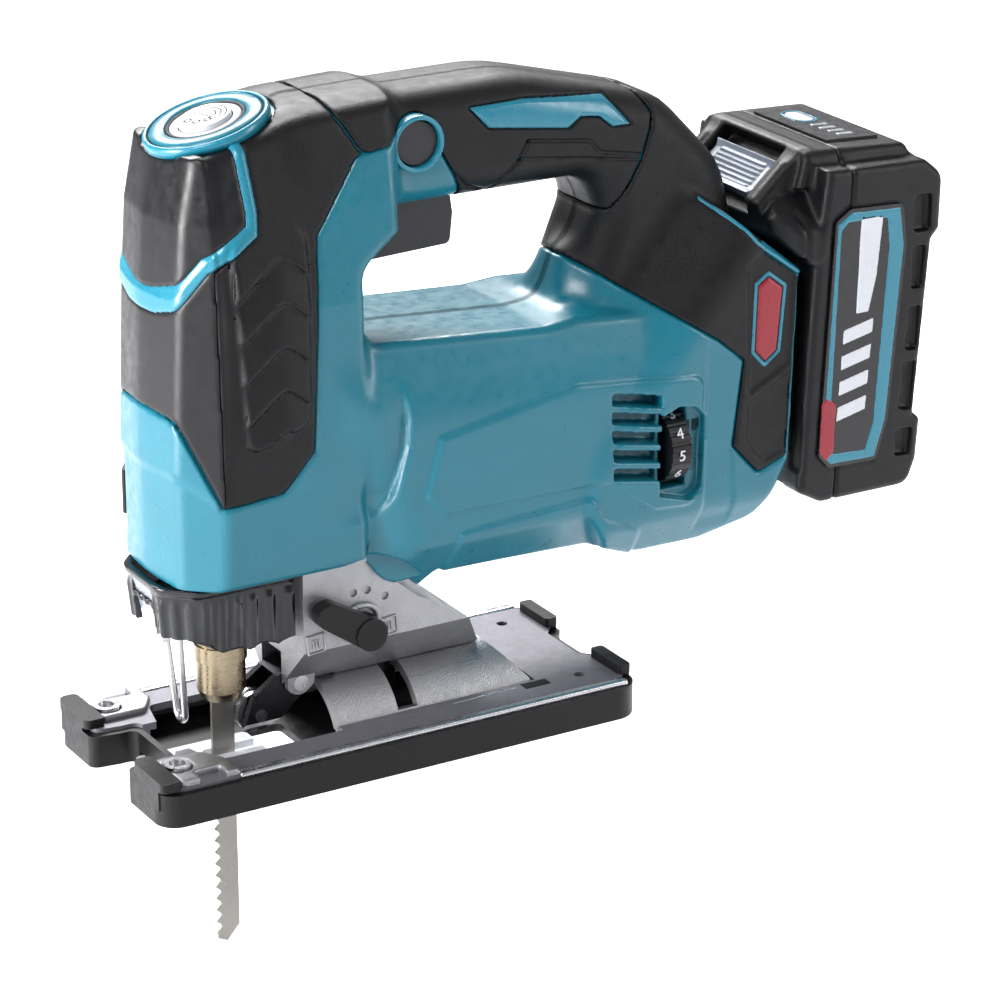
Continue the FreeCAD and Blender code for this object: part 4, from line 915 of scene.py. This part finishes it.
LABELS = [(label_frame, PRINT_FACE, TEAL_PRINT_AND_HIGHLIGHT, "teal_shell"),
          (label_panel, PRINT_FACE, WHITE, "panel_white"),
          (label_bars, PRINT_FACE, WHITE, "panel_white"),
          (label_hexagon, HEXAGON_FACE, RED, "badge_red")]


def battery_label(side_name, flip):
    """Colour areas of the label on one side of the battery."""
    grid = space((193, -37.99, 68), (227, -37.4, 155), LABEL_PITCH)
    x, y, z = grid
    for outline, face, look, slot in LABELS:
        field = np.maximum(outline(x, z), np.maximum(-y - face, y + 37.3))
        mould("%s_%s" % (outline.__name__, side_name), field, grid, LABEL_PITCH, look, "battery",
              (), flip)


def charge_gauge():
    """Oval key with four bars, printed on the battery's sloping top."""
    grid = space((205, -21, 169), (227, 21, 173.5), LABEL_PITCH)
    x, y, z = grid
    crown_top = z - (172.35 - 0.0575 * (x - 206))
    oval = np.hypot(np.maximum(np.abs(y - 9) - 3.0, 0), x - 216) - 4.4
    raised = np.maximum(crown_top - 0.25, -crown_top - 0.6)
    flat = np.maximum(crown_top - 0.2, -crown_top - 0.6)
    bars = np.minimum.reduce([
        np.maximum(np.abs(y + 2 + 4.2 * n) - 1.0, np.abs(x - 216 - 0.4 * n) - 3.2)
        for n in range(4)])
    mould("gauge_oval", np.maximum(np.abs(oval + 0.5) - 0.5, raised), grid, LABEL_PITCH,
          TEAL_PRINT_AND_HIGHLIGHT, "battery")
    mould("gauge_key", np.maximum(oval + 1.5, flat), grid, LABEL_PITCH, WHITE, "battery")
    mould("gauge_bars", np.maximum(bars, flat), grid, LABEL_PITCH, SILVER, "battery")


battery_case()
latch_button()
battery_label("left", False)
battery_label("right", True)
charge_gauge()

# ---------------------------------------------------------------- chip cover

COVER = [(-26.6, -12, 8), (-17, -22, 6), (15.5, -22), (15.5, 22), (-17, 22, 6), (-26.6, 12, 8)]
COVER_TOP = 66


def chip_guard():
    """Ribbed smoked cover below the nose, with a window and a bridge at its front."""
    grid = space((-28, -23, 41.5), (16.5, 23, 66.2), 0.55)
    x, y, z = grid
    wall = polygon(x, y, COVER) + 0.10 * (COVER_TOP - z) * ramp(x, 4, -14)
    angle = np.arctan2(y * 1.1, x + 4)
    ribbing = 0.7 * np.clip(np.abs(np.sin(angle * 15)) * 2 - 0.9, 0, 1) * ramp(z, 62.5, -3)
    outside = wall + 0.9 - ribbing - 0.8 * ramp(z, 63.2, 0.8)
    scallop = 1.8 * np.abs(np.sin(x * 0.33)) * ramp(np.abs(y), 18, 3)
    lower_edge = 43.5 + 5.5 * ramp(x, -8, -10) + scallop
    cover = np.maximum(np.maximum(outside, -(wall + 2.6)),
                       np.maximum(z - 65.8, lower_edge - z))
    cover = np.maximum(cover, x - 15.3)
    notch = np.maximum(np.abs(y) - 6.6, x + 14)
    bridge = np.maximum(np.maximum(outside, np.abs(y) - 9),
                        np.maximum(np.abs(z - 58.2) - 1.2, x + 14.5))
    cover = np.minimum(np.maximum(cover, -np.maximum(notch, z - 62)), bridge)
    mould("chip_guard", cover, grid, 0.55, SMOKE, "tool", ["chip_cover"])


def chip_tongue():
    """Clear tongue in the window of the chip cover, narrower towards its end."""
    grid = space((-29, -8, 41), (-12, 8, 66), 0.5)
    x, y, z = grid
    front = 0.22 * (COVER_TOP - z) - 26.2
    sides = np.abs(y) - 6.4 + 0.10 * np.maximum(56 - z, 0) ** 1.2
    tongue = np.maximum(np.maximum(front - x, x - front - 1.7),
                        np.maximum(sides, np.maximum(z - 65, 44.5 - z)))
    mould("chip_tongue", tongue, grid, 0.5, CLEAR, "tool")


chip_guard()
chip_tongue()

# ---------------------------------------------------------------- shoe details

EAR = [(-31.6, -35.8, 2), (-9.5, -35.8, 3), (-9.5, -30, 2), (-17, -18.6, 3), (-31.6, -18.6, 2)]


def shoe_side(side_name, flip):
    """Bright edge of the steel plate, a polished edge with a painted highlight on its bend, and the
    bracket that a fence goes in.
    """
    grid = space((-14, -37.5, 9), (126, -32.0, 12.6), 0.45)
    x, y, z = grid
    # Brighter, shinier steel than the plate along its rounded bend: partly a polished edge, partly
    # painted highlight.
    strip = np.hypot(np.maximum(np.abs(y + 34.9) - 0.9, 0), np.maximum(z - 11.2, 0)) - 0.9
    strip = np.maximum(np.maximum(strip, np.maximum(-12 - x, x - 124.5)), 10.0 - z)
    mould("edge_polish_and_highlight_" + side_name, strip, grid, 0.45, STEEL, "shoe", (), flip)
    grid = space((-33, -38.2, 3), (-8, -16.5, 15.2), 0.6)
    x, y, z = grid
    ear = np.maximum(polygon(x, y, EAR), np.maximum(11.3 - z, z - 13.6))
    ear = meet(ear, 0.64 * (z - 13.6) + 0.77 * (x + 12.5), 1.0)
    ear = np.maximum(ear, -(np.hypot(x + 27.5, y + 25) - 4.6))
    ear = np.maximum(ear, -np.maximum(np.abs(x + 20.5) - 4.2, np.maximum(-y - 40, y + 30.5)))
    mould("fence_ear_" + side_name, ear, grid, 0.6, CAST, "shoe", (), flip)


def fence_slot():
    """Bright line, and a dark sheet that paints the shade of the slot that a fence would lie along.
    """
    grid = space((66, -27, 11), (108, -18, 12.4), 0.4)
    x, y, z = grid
    line = np.maximum(np.abs(y + 22.9 - 0.012 * (x - 80)) - 0.55, np.maximum(68 - x, x - 92))
    mould("fence_line", np.maximum(line, np.abs(z - 11.45) - 0.22), grid, 0.4, STEEL, "shoe")
    # Painted shade: a flat dark sheet on the plate where the slot is.
    dark = np.maximum(np.abs(y + 23.4) - 2.2, np.maximum(93.5 - x, x - 103))
    mould("fence_slot_painted_shade", np.maximum(dark, np.abs(z - 11.45) - 0.2), grid, 0.4, BLACK_AND_SHADE,
          "shoe")


shoe_side("left", False)
shoe_side("right", True)
fence_slot()

# ---------------------------------------------------------------- marks on the foot

MARK_TURN = 0.1  # radians
LEVER_AT = (37, 46.6)  # middle of the eyelet round the orbital lever (x, z)


def foot_mark(name, middle_x, middle_z):
    """Raised frame with three bars beside the orbital lever."""
    grid = space((middle_x - 4, -23, middle_z - 4), (middle_x + 4, -21.6, middle_z + 4), 0.3)
    x, y, z = grid
    cos, sin = math.cos(MARK_TURN), math.sin(MARK_TURN)
    u = (x - middle_x) * cos + (z - middle_z) * sin
    v = (z - middle_z) * cos - (x - middle_x) * sin
    outer = np.abs(np.maximum(np.abs(u), np.abs(v)) - 2.9) - 0.3
    bars = np.minimum.reduce([np.maximum(np.abs(u - n) - 0.25, np.abs(v) - 1.5)
                              for n in (-1, 0, 1)])
    field = np.maximum(np.minimum(outer, bars), np.abs(y + 22.2) - 0.35)
    mould(name, field, grid, 0.3, CAST, "tool")


def lever_eyelet():
    """Raised oval ring that the orbital lever's shaft comes out of."""
    grid = space((30, -24.5, 40), (44, -21.5, 55), 0.4)
    x, y, z = grid
    distance = np.hypot((x - LEVER_AT[0]) / 1.25, z - LEVER_AT[1])
    ring = slab(np.abs(distance - 4.4) - 0.8, y + 22.9, 0.8, 0.3)
    mould("lever_eyelet", ring, grid, 0.4, CAST, "tool")


foot_mark("foot_mark_rear", 46.4, 42.0)
foot_mark("foot_mark_front", 21.4, 41.4)
lever_eyelet()

# ---------------------------------------------------------------- view, light and floor

MIDDLE = (0.09, 0, 0.09)
# name: place, width and height in metres, and power in watts
LAMPS = {"key": ((-0.75, -0.45, 1.0), 0.35, 0.5, 10),
         "front_left": ((-1.1, 0.05, 0.16), 0.45, 0.7, 32),
         "right_rim": ((0.95, -0.75, 0.5), 0.3, 0.9, 6),
         "back_top": ((0.25, 0.75, 0.85), 0.9, 0.4, 24)}
SKY_COLOUR, SKY_STRENGTH = (0.95, 0.97, 1.0, 1), 0.42
CAMERA_AT = (-0.46203, -0.94939, 0.48849)
CAMERA_FACING = (0.47508, 0.80380, -0.35807)
FOCAL_LENGTH, SENSOR_WIDTH = 135.1, 36


def area_light(name, place, width, height, power):
    """A large soft lamp that faces the middle of the tool."""
    lamp = bpy.data.lights.new(name, "AREA")
    lamp.shape = "RECTANGLE"
    lamp.size = width
    lamp.size_y = height
    lamp.energy = power
    obj = bpy.data.objects.new(name, lamp)
    bpy.context.scene.collection.objects.link(obj)
    obj.location = place
    obj.rotation_euler = (Vector(MIDDLE) - Vector(place)).to_track_quat("-Z", "Y").to_euler()


def stage():
    """Pale floor, soft lamps, a pale surround and the camera."""
    bpy.ops.mesh.primitive_plane_add(size=6, location=(0.1, 0, cad_bounds[0][2] - 0.001))
    floor = bpy.context.object
    floor.name = "floor"
    floor.data.materials.append(material("pale_floor", srgb(250, 250, 252), 0.7, grain=6,
                                         grain_depth=0.02, mottle=0.01, dark=0.98,
                                         specular=0.1))
    for name, lamp in LAMPS.items():
        area_light(name, *lamp)
    world = bpy.data.worlds.new("studio")
    bpy.context.scene.world = world
    world.use_nodes = True
    background = world.node_tree.nodes["Background"]
    background.inputs["Color"].default_value = SKY_COLOUR
    background.inputs["Strength"].default_value = SKY_STRENGTH
    bpy.context.scene.view_settings.view_transform = "Standard"
    camera = bpy.data.objects.new("camera", bpy.data.cameras.new("camera"))
    bpy.context.scene.collection.objects.link(camera)
    camera.location = CAMERA_AT
    camera.rotation_euler = Vector(CAMERA_FACING).to_track_quat("-Z", "Y").to_euler()
    camera.data.lens = FOCAL_LENGTH
    camera.data.sensor_width = SENSOR_WIDTH
    bpy.context.scene.camera = camera


stage()
